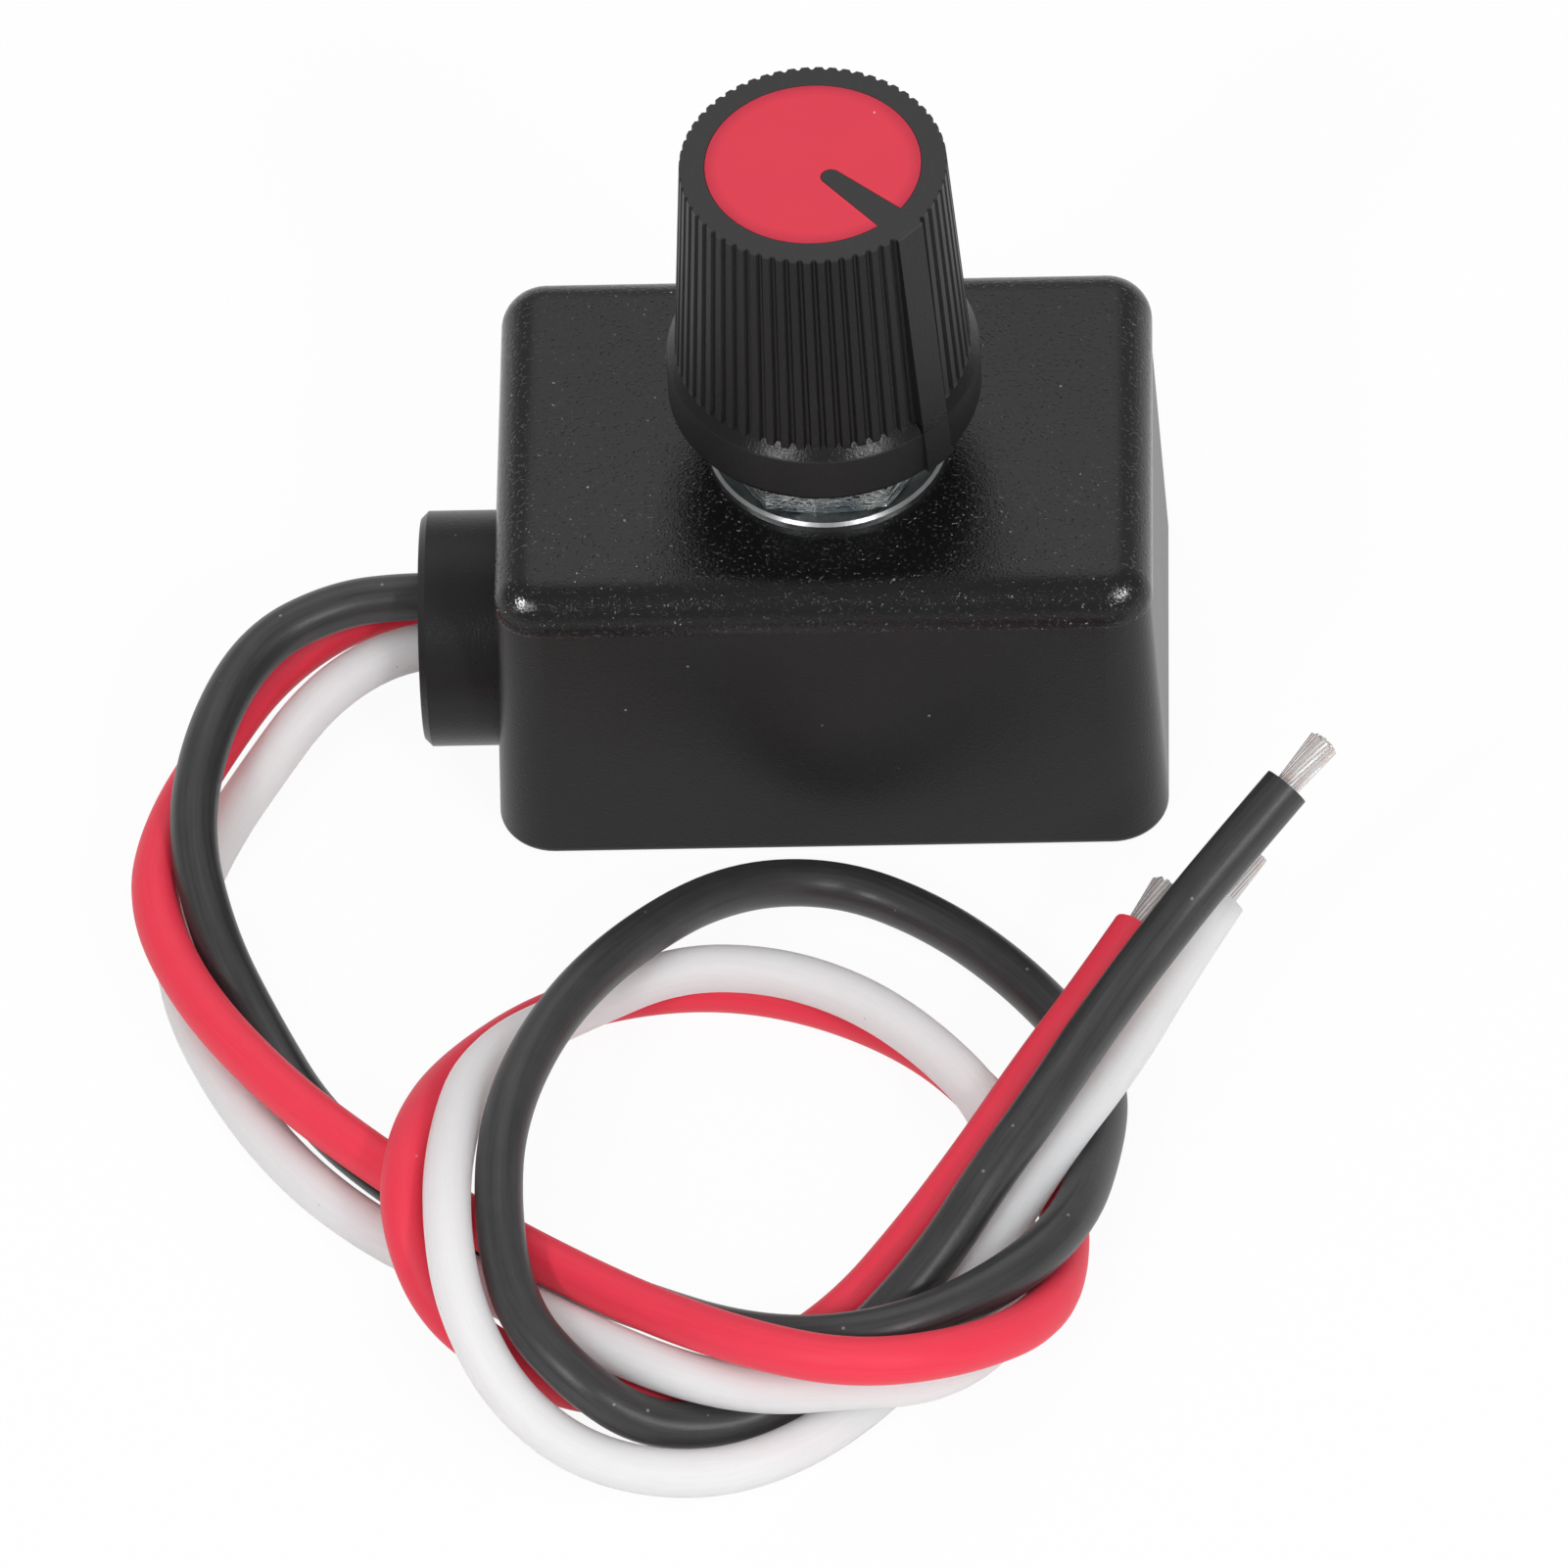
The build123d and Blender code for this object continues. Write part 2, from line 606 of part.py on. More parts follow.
# Washer on the lid
with BuildPart() as mounting_washer:
    with BuildSketch(Plane.XY.offset(housing_height)):
        Circle(washer_diameter / 2)
        Circle(bushing_diameter / 2 + washer_clearance, mode=Mode.SUBTRACT)
    extrude(amount=washer_thickness)
    washer_rim = mounting_washer.faces().sort_by(Axis.Z)[-1].edges().sort_by(SortBy.RADIUS)[-1]
    chamfer(washer_rim, washer_edge_chamfer)
finish(mounting_washer, "mounting_washer")

# Hexagon nut with its corners bevelled top and bottom
nut_corner_radius = nut_across_flats / math.sqrt(3)

with BuildPart() as mounting_nut:
    with BuildSketch(Plane.XY.offset(washer_top)):
        RegularPolygon(nut_across_flats / 2, 6, major_radius=False)
        Circle(bushing_diameter / 2 + thread_clearance, mode=Mode.SUBTRACT)
    extrude(amount=nut_height)
    with BuildSketch(Plane.XZ):
        with BuildLine():
            Polyline(
                (0, washer_top),
                (nut_across_flats / 2, washer_top),
                (nut_corner_radius, washer_top + nut_bevel),
                (nut_corner_radius, washer_top + nut_height - nut_bevel),
                (nut_across_flats / 2, washer_top + nut_height),
                (0, washer_top + nut_height),
                close=True,
            )
        make_face()
    revolve(axis=Axis.Z, mode=Mode.INTERSECT)
finish(mounting_nut, "mounting_nut")

# Knob: skirt and sloping shoulder turned as one body, a fluted cone that stands out of the
# shoulder, the pointer rib down its side, and a hollow underside round the splined socket
skirt_top = knob_bottom + skirt_height
shoulder_top = skirt_top + shoulder_height
socket_radius = shaft_diameter / 2 + socket_clearance
cap_floor = knob_top - cap_depth
hollow_top = knob_top - knob_roof
boss_bottom = knob_bottom + knob_recess_height


def flute_outline(root_radius, depth):
    """Return the points of a fluted section: broad crests with narrow valleys between."""
    points = []
    for flute in range(flute_count):
        for share, radius in (
            (-crest_share / 2, root_radius + depth),
            (crest_share / 2, root_radius + depth),
            (0.5 - valley_share / 2, root_radius),
            (0.5 + valley_share / 2, root_radius),
        ):
            turn = math.radians(pointer_angle + 360 * (flute + share) / flute_count)
            points.append((radius * math.cos(turn), radius * math.sin(turn)))
    return points


def pointer_outline(reach, clearance):
    """Return the corners of the pointer bar, which widens from its tip towards the rim."""
    spread = (pointer_foot_width - pointer_width) / (cap_diameter / 2 - pointer_start)
    tip = pointer_width / 2 + clearance
    foot = tip + spread * (reach - pointer_start) / 2
    return [(pointer_start, -tip), (reach, -foot), (reach, foot), (pointer_start, tip)]


top_root_radius = knob_top_diameter / 2 - flute_depth_at_top
base_root_radius = knob_root_diameter / 2

with BuildPart() as knob:
    with BuildSketch(Plane.XZ) as knob_profile:
        with BuildLine():
            Polyline(
                (0, knob_bottom),
                (skirt_diameter / 2, knob_bottom),
                (skirt_diameter / 2, skirt_top),
                (base_root_radius, shoulder_top),
                (top_root_radius, knob_top),
                (0, knob_top),
                close=True,
            )
        make_face()
        skirt_rim = knob_profile.vertices().group_by(Axis.X)[-1].sort_by(Axis.Z)[-1]
        fillet(skirt_rim, skirt_edge_radius)
    revolve(axis=Axis.Z)
    with BuildSketch(Plane.XY.offset(skirt_top)):
        Polygon(*flute_outline(base_root_radius, flute_depth), align=None)
    with BuildSketch(Plane.XY.offset(knob_top)):
        Polygon(*flute_outline(top_root_radius, flute_depth_at_top), align=None)
    loft(ruled=True)
    with BuildSketch(Plane.XZ.rotated((0, 0, pointer_angle))):
        with BuildLine():
            Polyline(
                (cap_diameter / 2, knob_bottom + pointer_rib_rise),
                (skirt_diameter / 2 + pointer_rib_proud, knob_bottom + pointer_rib_rise),
                (knob_top_diameter / 2 + pointer_rib_proud / 2, knob_top),
                (cap_diameter / 2, knob_top),
                close=True,
            )
        make_face()
    extrude(amount=pointer_rib_width / 2, both=True)
    with BuildSketch(Plane.XZ):
        with BuildLine():
            Polyline(
                (0, knob_bottom),
                (skirt_diameter / 2 - knob_wall, knob_bottom),
                (base_root_radius - knob_wall, shoulder_top),
                (top_root_radius - knob_wall, hollow_top),
                (boss_diameter / 2, hollow_top),
                (boss_diameter / 2, boss_bottom),
                (0, boss_bottom),
                close=True,
            )
        make_face()
    revolve(axis=Axis.Z, mode=Mode.SUBTRACT)
    with BuildSketch(Plane.XY.offset(hollow_top)):
        rib_middle = (boss_diameter / 2 + top_root_radius) / 2
        with PolarLocations(rib_middle, boss_rib_count, start_angle=boss_rib_start):
            Rectangle(top_root_radius - boss_diameter / 2, boss_rib_thickness)
        Circle(boss_diameter / 2 - socket_clearance, mode=Mode.SUBTRACT)
        Circle(top_root_radius - knob_wall / 2, mode=Mode.INTERSECT)
    extrude(amount=shoulder_top - hollow_top)
    with BuildSketch(Plane.XY.offset(boss_bottom)):
        Circle(socket_radius)
    extrude(amount=shaft_top + ring_clearance - boss_bottom, mode=Mode.SUBTRACT)
    with BuildSketch(Plane.XY.offset(cap_floor)):
        Circle(cap_diameter / 2 + cap_clearance)
    extrude(amount=cap_depth, mode=Mode.SUBTRACT)
    with BuildSketch(Plane.XY.offset(cap_floor).rotated((0, 0, pointer_angle))):
        with Locations((pointer_start, 0)):
            Circle(pointer_width / 2)
        Polygon(*pointer_outline(knob_top_diameter / 2 - knob_wall / 2, 0), align=None)
    extrude(amount=cap_depth)
finish(knob, "knob")

# Knob cap: coloured disc let into the knob, slotted for the pointer
with BuildPart() as knob_cap:
    with BuildSketch(Plane.XY.offset(cap_floor).rotated((0, 0, pointer_angle))):
        Circle(cap_diameter / 2)
        with Locations((pointer_start, 0)):
            Circle(pointer_width / 2 + cap_clearance, mode=Mode.SUBTRACT)
        Polygon(*pointer_outline(cap_diameter, cap_clearance), align=None, mode=Mode.SUBTRACT)
    extrude(amount=cap_depth)
finish(knob_cap, "knob_cap")

# Circuit board on the posts, drilled for its pegs, the terminals, the wires and the capacitor
conductor_corners = [pad_corner(route) for route in wire_routes.values()]
conductor_points = [(corner.X, corner.Y) for corner in conductor_corners]
terminal_points = [(terminal_x - terminal_sheet / 2, row) for row in terminal_rows]
capacitor_points = [
    (capacitor_centre[0] + side * capacitor_lead_pitch / 2, capacitor_centre[1]) for side in (-1, 1)
]

with BuildPart() as circuit_board:
    with BuildSketch(Plane.XY.offset(board_bottom)):
        with Locations(box_centre):
            Rectangle(board_length, board_width)
            with GridLocations(post_columns, post_rows, 2, 2):
                Circle(peg_diameter / 2 + peg_clearance, mode=Mode.SUBTRACT)
        with Locations(conductor_points):
            Circle(conductor_diameter / 2 + lead_clearance, mode=Mode.SUBTRACT)
        with Locations(terminal_points):
            Rectangle(
                terminal_sheet + 2 * lead_clearance,
                terminal_tip_width + 2 * lead_clearance,
                mode=Mode.SUBTRACT,
            )
        with Locations(capacitor_points):
            Circle(capacitor_lead_diameter / 2 + lead_clearance, mode=Mode.SUBTRACT)
    extrude(amount=board_thickness)
finish(circuit_board, "circuit_board")

# Solder under the board, round each lead
with BuildPart() as solder_joints:
    for points, radius in (
        (conductor_points, conductor_diameter / 2),
        (capacitor_points, capacitor_lead_diameter / 2),
    ):
        with Locations([(x, y, board_bottom) for x, y in points]):
            Cone(
                radius + solder_flare / 2,
                radius + solder_flare,
                solder_height,
                align=(Align.CENTER, Align.CENTER, Align.MAX),
            )
            Cylinder(radius + solder_clearance, 2 * solder_height, mode=Mode.SUBTRACT)
    with Locations([(x, y, board_bottom) for x, y in terminal_points]):
        Cone(
            terminal_tip_width / 2 + solder_flare / 2,
            terminal_tip_width / 2 + solder_flare,
            solder_height,
            align=(Align.CENTER, Align.CENTER, Align.MAX),
        )
        Box(
            terminal_sheet + 2 * solder_clearance,
            terminal_tip_width + 2 * solder_clearance,
            2 * solder_height,
            mode=Mode.SUBTRACT,
        )
finish(solder_joints, "solder_joints")

# Power transistor: flat moulded body, cooling tab and two formed leads
with BuildPart() as power_transistor:
    with BuildSketch(Plane.XY.offset(board_top)):
        with Locations(on_board(transistor_at)):
            Rectangle(transistor_length, transistor_width)
    extrude(amount=transistor_height)
    chamfer(power_transistor.faces().sort_by(Axis.Z)[-1].edges(), transistor_tab_sheet / 2)
    with BuildSketch(Plane.XY.offset(board_top)):
        with Locations(on_board(transistor_at)):
            with Locations((-(transistor_length + transistor_tab_reach) / 2, 0)):
                Rectangle(transistor_tab_reach, transistor_width - 2 * transistor_tab_sheet)
    extrude(amount=transistor_tab_sheet)
    with BuildSketch(Plane.XY.offset(board_top)):
        with Locations(on_board(transistor_at)):
            with Locations((transistor_length / 2, 0)):
                with GridLocations(0, 2 * transistor_lead_pitch, 1, 2):
                    Rectangle(
                        transistor_lead_reach,
                        transistor_lead_width,
                        align=(Align.MIN, Align.CENTER),
                    )
    extrude(amount=transistor_tab_sheet)
finish(power_transistor, "power_transistor")

# Control chip: moulded body held clear of the board by eight bent leads
with BuildPart() as control_chip:
    with BuildSketch(Plane.XY.offset(board_top + chip_foot_gap)):
        with Locations(on_board(chip_at)):
            Rectangle(chip_length, chip_width)
    extrude(amount=chip_height)
    chamfer(control_chip.faces().sort_by(Axis.Z)[-1].edges(), chip_lead_sheet)
    lead_level = board_top + chip_foot_gap + chip_height / 2
    for side in (-1, 1):
        lead_root = on_board(chip_at)[1] + side * chip_width / 2
        lead_knee = lead_root + side * chip_lead_reach / 2
        lead_toe = lead_root + side * chip_lead_reach
        for column in range(chip_leads_per_side):
            lead_offset = (column - (chip_leads_per_side - 1) / 2) * chip_lead_pitch
            lead_x = on_board(chip_at)[0] + lead_offset
            with BuildSketch(Plane.YZ.offset(lead_x)):
                with BuildLine():
                    Polyline(
                        (lead_root, lead_level),
                        (lead_knee, lead_level),
                        (lead_knee, board_top + chip_lead_sheet),
                        (lead_toe, board_top + chip_lead_sheet),
                        (lead_toe, board_top),
                        (lead_knee - side * chip_lead_sheet, board_top),
                        (lead_knee - side * chip_lead_sheet, lead_level - chip_lead_sheet),
                        (lead_root, lead_level - chip_lead_sheet),
                        close=True,
                    )
                make_face()
            extrude(amount=chip_lead_width / 2, both=True)
finish(control_chip, "control_chip")

# Capacitor: round can with a crimped groove, standing on two leads
groove_level = board_top + capacitor_groove_rise
capacitor_base = (*capacitor_centre, 0)

with BuildPart() as capacitor:
    with BuildSketch(Plane(origin=capacitor_base, x_dir=(1, 0, 0), z_dir=(0, -1, 0))):
        with BuildLine():
            Polyline(
                (0, board_top),
                (capacitor_radius, board_top),
                (capacitor_radius, groove_level - capacitor_groove_depth),
                (capacitor_radius - capacitor_groove_depth, groove_level),
                (capacitor_radius, groove_level + capacitor_groove_depth),
                (capacitor_radius, board_top + capacitor_height - capacitor_groove_depth),
                (capacitor_radius - capacitor_groove_depth, board_top + capacitor_height),
                (0, board_top + capacitor_height),
                close=True,
            )
        make_face()
    revolve(axis=Axis(capacitor_base, (0, 0, 1)))
    with BuildSketch(Plane.XY.offset(board_top)):
        with Locations(capacitor_points):
            Circle(capacitor_lead_diameter / 2)
    extrude(amount=-(board_thickness + lead_overrun))
finish(capacitor, "capacitor")

# Diode: moulded block with a strap folded round each end
with BuildPart() as diode:
    with BuildSketch(Plane.XY.offset(board_top + diode_strap_sheet)):
        with Locations(on_board(diode_at)):
            Rectangle(diode_length, diode_width)
    extrude(amount=diode_height - diode_strap_sheet)
    chamfer(diode.faces().sort_by(Axis.Z)[-1].edges(), diode_strap_sheet)
    for side in (-1, 1):
        with BuildSketch(Plane.XY.offset(board_top)):
            with Locations(on_board(diode_at)):
                with Locations((side * diode_length / 2, 0)):
                    Rectangle(2 * diode_strap_reach, diode_strap_width)
        extrude(amount=diode_height / 2)
finish(diode, "diode")

# Chip resistors
with BuildPart() as chip_resistors:
    with BuildSketch(Plane.XY.offset(board_top)):
        with Locations([on_board(point) for point in resistor_points]):
            Rectangle(resistor_length, resistor_width)
    extrude(amount=resistor_height)
finish(chip_resistors, "chip_resistors")


def arc_radii(points):
    """Return for each corner of a route the largest even arc that its two runs leave room for."""
    radii = []
    for before, corner, after in zip(points, points[1:], points[2:]):
        run_in = Vector(corner) - Vector(before)
        run_out = Vector(after) - Vector(corner)
        half_turn = math.radians(run_in.get_angle(run_out)) / 2
        radii.append(arc_share * min(run_in.length, run_out.length) / math.tan(half_turn))
    return radii


# Wires: round insulated tubes, each with a bare conductor at its free end and at its pad
for node, points in wire_routes.items():
    radii = arc_radii(points)
    with BuildPart() as wire:
        with BuildLine() as route:
            FilletPolyline(*points, radius=radii)
        start_direction = route.line % 0
        end_direction = route.line % 1
        with BuildSketch(Plane(origin=points[0], z_dir=start_direction)):
            Circle(wire_diameter / 2)
        sweep(path=route.line)
    finish(wire, node)
    route_length = route.wires()[0].length
    tube_share = wire.part.volume / (route_length * math.pi * wire_diameter**2 / 4)
    print(node, "length", round(route_length, 1), "volume over section x length", round(tube_share, 5))
    print(node, "radii", [round(radius, 1) for radius in radii])

    with BuildPart() as bare_end:
        with BuildSketch(Plane(origin=points[-1], z_dir=end_direction)):
            Circle(conductor_diameter / 2)
        extrude(amount=bare_length)
    finish(bare_end, node + "_end")

# Conductors from the wires' inner ends down through the board
with BuildPart() as inner_conductors:
    for points, corner in zip(wire_routes.values(), conductor_corners):
        with BuildLine() as bend:
            FilletPolyline(
                points[0],
                corner,
                (corner.X, corner.Y, board_bottom - lead_overrun),
                radius=inner_bend_radius,
            )
        with BuildSketch(Plane(origin=points[0], z_dir=bend.line % 0)):
            Circle(conductor_diameter / 2)
        sweep(path=bend.line)
finish(inner_conductors, "inner_conductors")
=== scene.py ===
import math
import random

import bpy
from mathutils import Matrix, Vector


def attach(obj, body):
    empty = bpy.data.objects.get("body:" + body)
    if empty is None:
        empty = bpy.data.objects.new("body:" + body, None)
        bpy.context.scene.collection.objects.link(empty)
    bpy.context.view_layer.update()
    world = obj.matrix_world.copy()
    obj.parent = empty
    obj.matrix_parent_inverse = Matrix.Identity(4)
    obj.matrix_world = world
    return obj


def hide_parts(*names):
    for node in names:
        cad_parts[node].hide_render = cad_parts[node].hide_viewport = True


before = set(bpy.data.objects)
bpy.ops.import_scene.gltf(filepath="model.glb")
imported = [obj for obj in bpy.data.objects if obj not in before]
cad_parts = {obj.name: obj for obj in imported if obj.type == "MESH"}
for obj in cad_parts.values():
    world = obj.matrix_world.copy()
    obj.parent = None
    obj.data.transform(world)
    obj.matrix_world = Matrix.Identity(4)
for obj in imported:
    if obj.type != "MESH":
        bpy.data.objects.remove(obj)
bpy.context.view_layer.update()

scene = bpy.context.scene
scene.view_settings.view_transform = "Standard"
bpy.ops.object.select_all(action="DESELECT")
print("frame loaded:", len(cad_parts), "nodes")


# camera, standing where the photo was taken from
shot = {
    "place": (0.03194, -0.62179, 0.69329),
    "aim": (-0.00273, -0.00646, 0.0),
    "roll": -3.4035,
    "lens": 439.93,
    "sensor": 36.0,
    "nearest": 0.05,
    "farthest": 20.0,
}
bpy.ops.object.camera_add(location=shot["place"])
camera = bpy.context.object
camera.name = "photoCamera"
sight = (Vector(shot["aim"]) - Vector(shot["place"])).to_track_quat("-Z", "Y").to_matrix()
camera.rotation_euler = (sight @ Matrix.Rotation(math.radians(shot["roll"]), 3, "Z")).to_euler()
camera.data.lens = shot["lens"]
camera.data.sensor_width = shot["sensor"]
camera.data.clip_start = shot["nearest"]
camera.data.clip_end = shot["farthest"]
scene.camera = camera
print("camera set")


# detail and roughness of each kind of noise, and the value that all of them swing about
noiseKinds = {
    "pit": (0.0, 0.5),
    "grain": (2.0, 0.6),
    "cloud": (3.0, 0.5),
    "mottle": (4.0, 0.6),
    "streak": (3.0, 0.6),
    "scratch": (3.0, 0.7),
}
noiseMiddle = 0.5
speckCore = 0.6  # share of a speck's radius that is at full strength
speckPick = 0.01  # how sharply specks are chosen or left out


# shader maths: a socket that can be added, subtracted and multiplied
class Field:
    def __init__(self, tree, socket):
        self.tree = tree
        self.socket = socket

    def math(self, operation, *terms):
        node = self.tree.nodes.new("ShaderNodeMath")
        node.operation = operation
        for slot, term in zip(node.inputs, terms):
            if isinstance(term, Field):
                self.tree.links.new(term.socket, slot)
            else:
                slot.default_value = term
        return Field(self.tree, node.outputs[0])

    def __add__(self, other):
        return self.math("ADD", self, other)

    def __radd__(self, other):
        return self.math("ADD", other, self)

    def __sub__(self, other):
        return self.math("SUBTRACT", self, other)

    def __rsub__(self, other):
        return self.math("SUBTRACT", other, self)

    def __mul__(self, other):
        return self.math("MULTIPLY", self, other)

    def __rmul__(self, other):
        return self.math("MULTIPLY", other, self)

    # a noise turned into a change of up to half of amount, either way
    def swing(self, amount):
        return amount * (self - noiseMiddle)


# one material while it is being made
class Finish:
    def __init__(self, name, **fixed):
        self.material = bpy.data.materials.new(name)
        self.material.use_nodes = True
        self.tree = self.material.node_tree
        self.shader = self.tree.nodes["Principled BSDF"]
        for socket, value in fixed.items():
            self.shader.inputs[socket.replace("_", " ")].default_value = value
        self.spot = self.node("ShaderNodeTexCoord", {}, {}, "Object")

    def node(self, kind, settings, sockets, out=0):
        node = self.tree.nodes.new(kind)
        for key, value in settings.items():
            setattr(node, key, value)
        for key, value in sockets.items():
            if isinstance(value, Field):
                self.tree.links.new(value.socket, node.inputs[key])
            else:
                node.inputs[key].default_value = value
        return Field(self.tree, node.outputs[out])

    def noise(self, kind, scale, spot=None):
        detail, roughness = noiseKinds[kind]
        return self.node("ShaderNodeTexNoise", {}, {
            "Vector": spot or self.spot, "Scale": scale, "Detail": detail, "Roughness": roughness})

    def step(self, value, low, high):
        return self.node("ShaderNodeMapRange", {"interpolation_type": "SMOOTHSTEP"}, {
            "Value": value, "From Min": low, "From Max": high})

    def blend(self, share, first, second):
        return self.node("ShaderNodeMix", {"data_type": "RGBA"}, {0: share, 6: first, 7: second}, 2)

    def stretched(self, stretch, spot=None):
        return self.node("ShaderNodeMapping", {}, {"Vector": spot or self.spot, "Scale": stretch})

    def height(self):
        return self.node("ShaderNodeSeparateXYZ", {}, {"Vector": self.spot}, "Z")

    # sparse dust: one speck to a cell of 1 / speckScale, and speckShare of the cells have theirs
    def specks(self, look):
        cell = {"Vector": self.spot, "Scale": look["speckScale"], "Randomness": 1.0}
        away = self.node("ShaderNodeTexVoronoi", {"feature": "F1"}, cell, "Distance")
        pick = self.node("ShaderNodeTexVoronoi", {"feature": "F1"}, cell, "Color")
        chosen = self.node("ShaderNodeSeparateColor", {}, {"Color": pick}, "Red")
        reach = look["speckSize"] * look["speckScale"]
        bare = 1 - look["speckShare"]
        return (1 - self.step(away, reach * speckCore, reach)) * self.step(chosen, bare, bare + speckPick)

    def bump(self, height, distance, strength):
        return self.node("ShaderNodeBump", {}, {
            "Height": height, "Distance": distance, "Strength": strength})

    def feed(self, **links):
        for socket, value in links.items():
            self.tree.links.new(value.socket, self.shader.inputs[socket.replace("_", " ")])
        return self.material


# glossier within the band of heights, and a lighter colour from topFrom up, which is a painted highlight
def mouldedPlastic(name, look):
    made = Finish(name, Specular_IOR_Level=look["gloss"])
    cloud = made.noise("cloud", look["cloudScale"])
    grain = made.noise("grain", look["grainScale"])
    pits = made.step(made.noise("pit", look["pitScale"]), look["pitFrom"], look["pitTo"])
    dust = made.specks(look)
    height = made.height()
    low, high = look["band"]
    edge = look["edge"]
    inside = made.step(height, low, low + edge) * (1 - made.step(height, high, high + edge))
    # painted highlight: from topFrom up the black is lightened
    highlightMask = made.step(height, look["topFrom"], look["topFrom"] + edge)
    body = made.blend(highlightMask, made.blend(cloud, look["dark"], look["light"]), look["top"])
    return made.feed(
        Base_Color=made.blend(dust, body, look["dust"]),
        Roughness=look["roughOff"] + (look["rough"] - look["roughOff"]) * inside
        + cloud.swing(look["roughSpread"]) + look["dustRough"] * dust,
        Normal=made.bump(grain + look["pitShare"] * pits, look["grainDepth"], look["grainStrength"]))


# the cap's red turns darker towards its outer edge: painted shade, standing in for the rounded edge
def cappedRed(name, look):
    made = Finish(name, Specular_IOR_Level=look["gloss"])
    cloud = made.noise("cloud", look["cloudScale"])
    grain = made.noise("grain", look["grainScale"])
    dust = made.specks(look)
    flat = made.node("ShaderNodeVectorMath", {"operation": "MULTIPLY"}, {0: made.spot, 1: (1, 1, 0)})
    away = made.node("ShaderNodeVectorMath", {"operation": "LENGTH"}, {0: flat}, "Value")
    # painted shade: the red is darkened near the cap's outer edge
    rim = made.step(away + cloud.swing(look["rimWander"]), look["rimFrom"], look["rimTo"])
    body = made.blend(rim, made.blend(cloud, look["dark"], look["light"]), look["rim"])
    return made.feed(
        Base_Color=made.blend(dust, body, look["dust"]),
        Roughness=look["rough"] + cloud.swing(look["roughSpread"]) + look["dustRough"] * dust,
        Normal=made.bump(grain, look["grainDepth"], look["grainStrength"]))


# bright plating with dents; lean tips its upright faces, so that they catch the light
def zincPlated(name, look):
    made = Finish(name, Metallic=1.0)
    cloud = made.noise("mottle", look["cloudScale"])
    scratch = made.noise("scratch", look["scratchScale"], made.stretched(look["scratchStretch"]))
    dents = cloud + look["scratchShare"] * scratch - look["lean"] * made.height()
    pale = made.step(cloud, look["paleFrom"], look["paleTo"])
    return made.feed(
        Base_Color=made.blend(pale, look["blue"], look["pale"]),
        Roughness=look["rough"] + scratch.swing(look["roughSpread"]),
        Normal=made.bump(dents, look["dentDepth"], look["dentStrength"]))


# streaks run along the wire, on its own UV map
def siliconeSheath(name, look):
    made = Finish(name, Specular_IOR_Level=look["gloss"], Sheen_Weight=look["sheen"],
                  Sheen_Roughness=look["sheenRough"], Subsurface_Weight=look["soft"],
                  Subsurface_Radius=look["softSpread"], Subsurface_Scale=look["softDepth"])
    cloud = made.noise("cloud", look["cloudScale"])
    grain = made.noise("grain", look["grainScale"])
    dust = made.specks(look)
    wrap = made.node("ShaderNodeTexCoord", {}, {}, "UV")
    streak = made.noise("streak", look["streakScale"], made.stretched(look["streaks"], wrap))
    streaked = made.step(streak, look["streakFrom"], look["streakTo"])
    shade = look["cloudShare"] * cloud + look["streakShare"] * streaked
    body = made.blend(shade, look["dark"], look["light"])
    rise = grain + look["cloudHeight"] * cloud + look["streakHeight"] * streak
    return made.feed(
        Base_Color=made.blend(dust * look["dustShare"], body, look["dust"]),
        Roughness=look["rough"] + streak.swing(look["roughSpread"]),
        Normal=made.bump(rise, look["grainDepth"], look["grainStrength"]))


def plainMetal(name, look):
    made = Finish(name, Metallic=1.0)
    cloud = made.noise("cloud", look["cloudScale"])
    scratch = made.noise("scratch", look["scratchScale"], made.stretched(look["scratchStretch"]))
    return made.feed(
        Base_Color=made.blend(cloud, look["dark"], look["light"]),
        Roughness=look["rough"] + scratch.swing(look["roughSpread"]),
        Normal=made.bump(scratch, look["scratchDepth"], look["scratchStrength"]))


def innerPlastic(name, look):
    made = Finish(name)
    cloud = made.noise("mottle", look["cloudScale"])
    return made.feed(
        Base_Color=made.blend(cloud, look["dark"], look["light"]),
        Roughness=look["rough"] + cloud.swing(look["roughSpread"]),
        Normal=made.bump(cloud, look["grainDepth"], look["grainStrength"]))


def tinnedCopper(name, look):
    made = Finish(name, Metallic=1.0)
    cloud = made.noise("streak", look["cloudScale"])
    worn = made.step(cloud, look["copperFrom"], look["copperTo"])
    return made.feed(
        Base_Color=made.blend(worn, look["tin"], look["copper"]),
        Roughness=look["rough"] + cloud.swing(look["roughSpread"]),
        Normal=made.bump(cloud, look["dentDepth"], look["dentStrength"]))


def selectOnly(pieces):
    bpy.ops.object.select_all(action="DESELECT")
    for piece in pieces:
        piece.select_set(True)
    bpy.context.view_layer.objects.active = pieces[0]


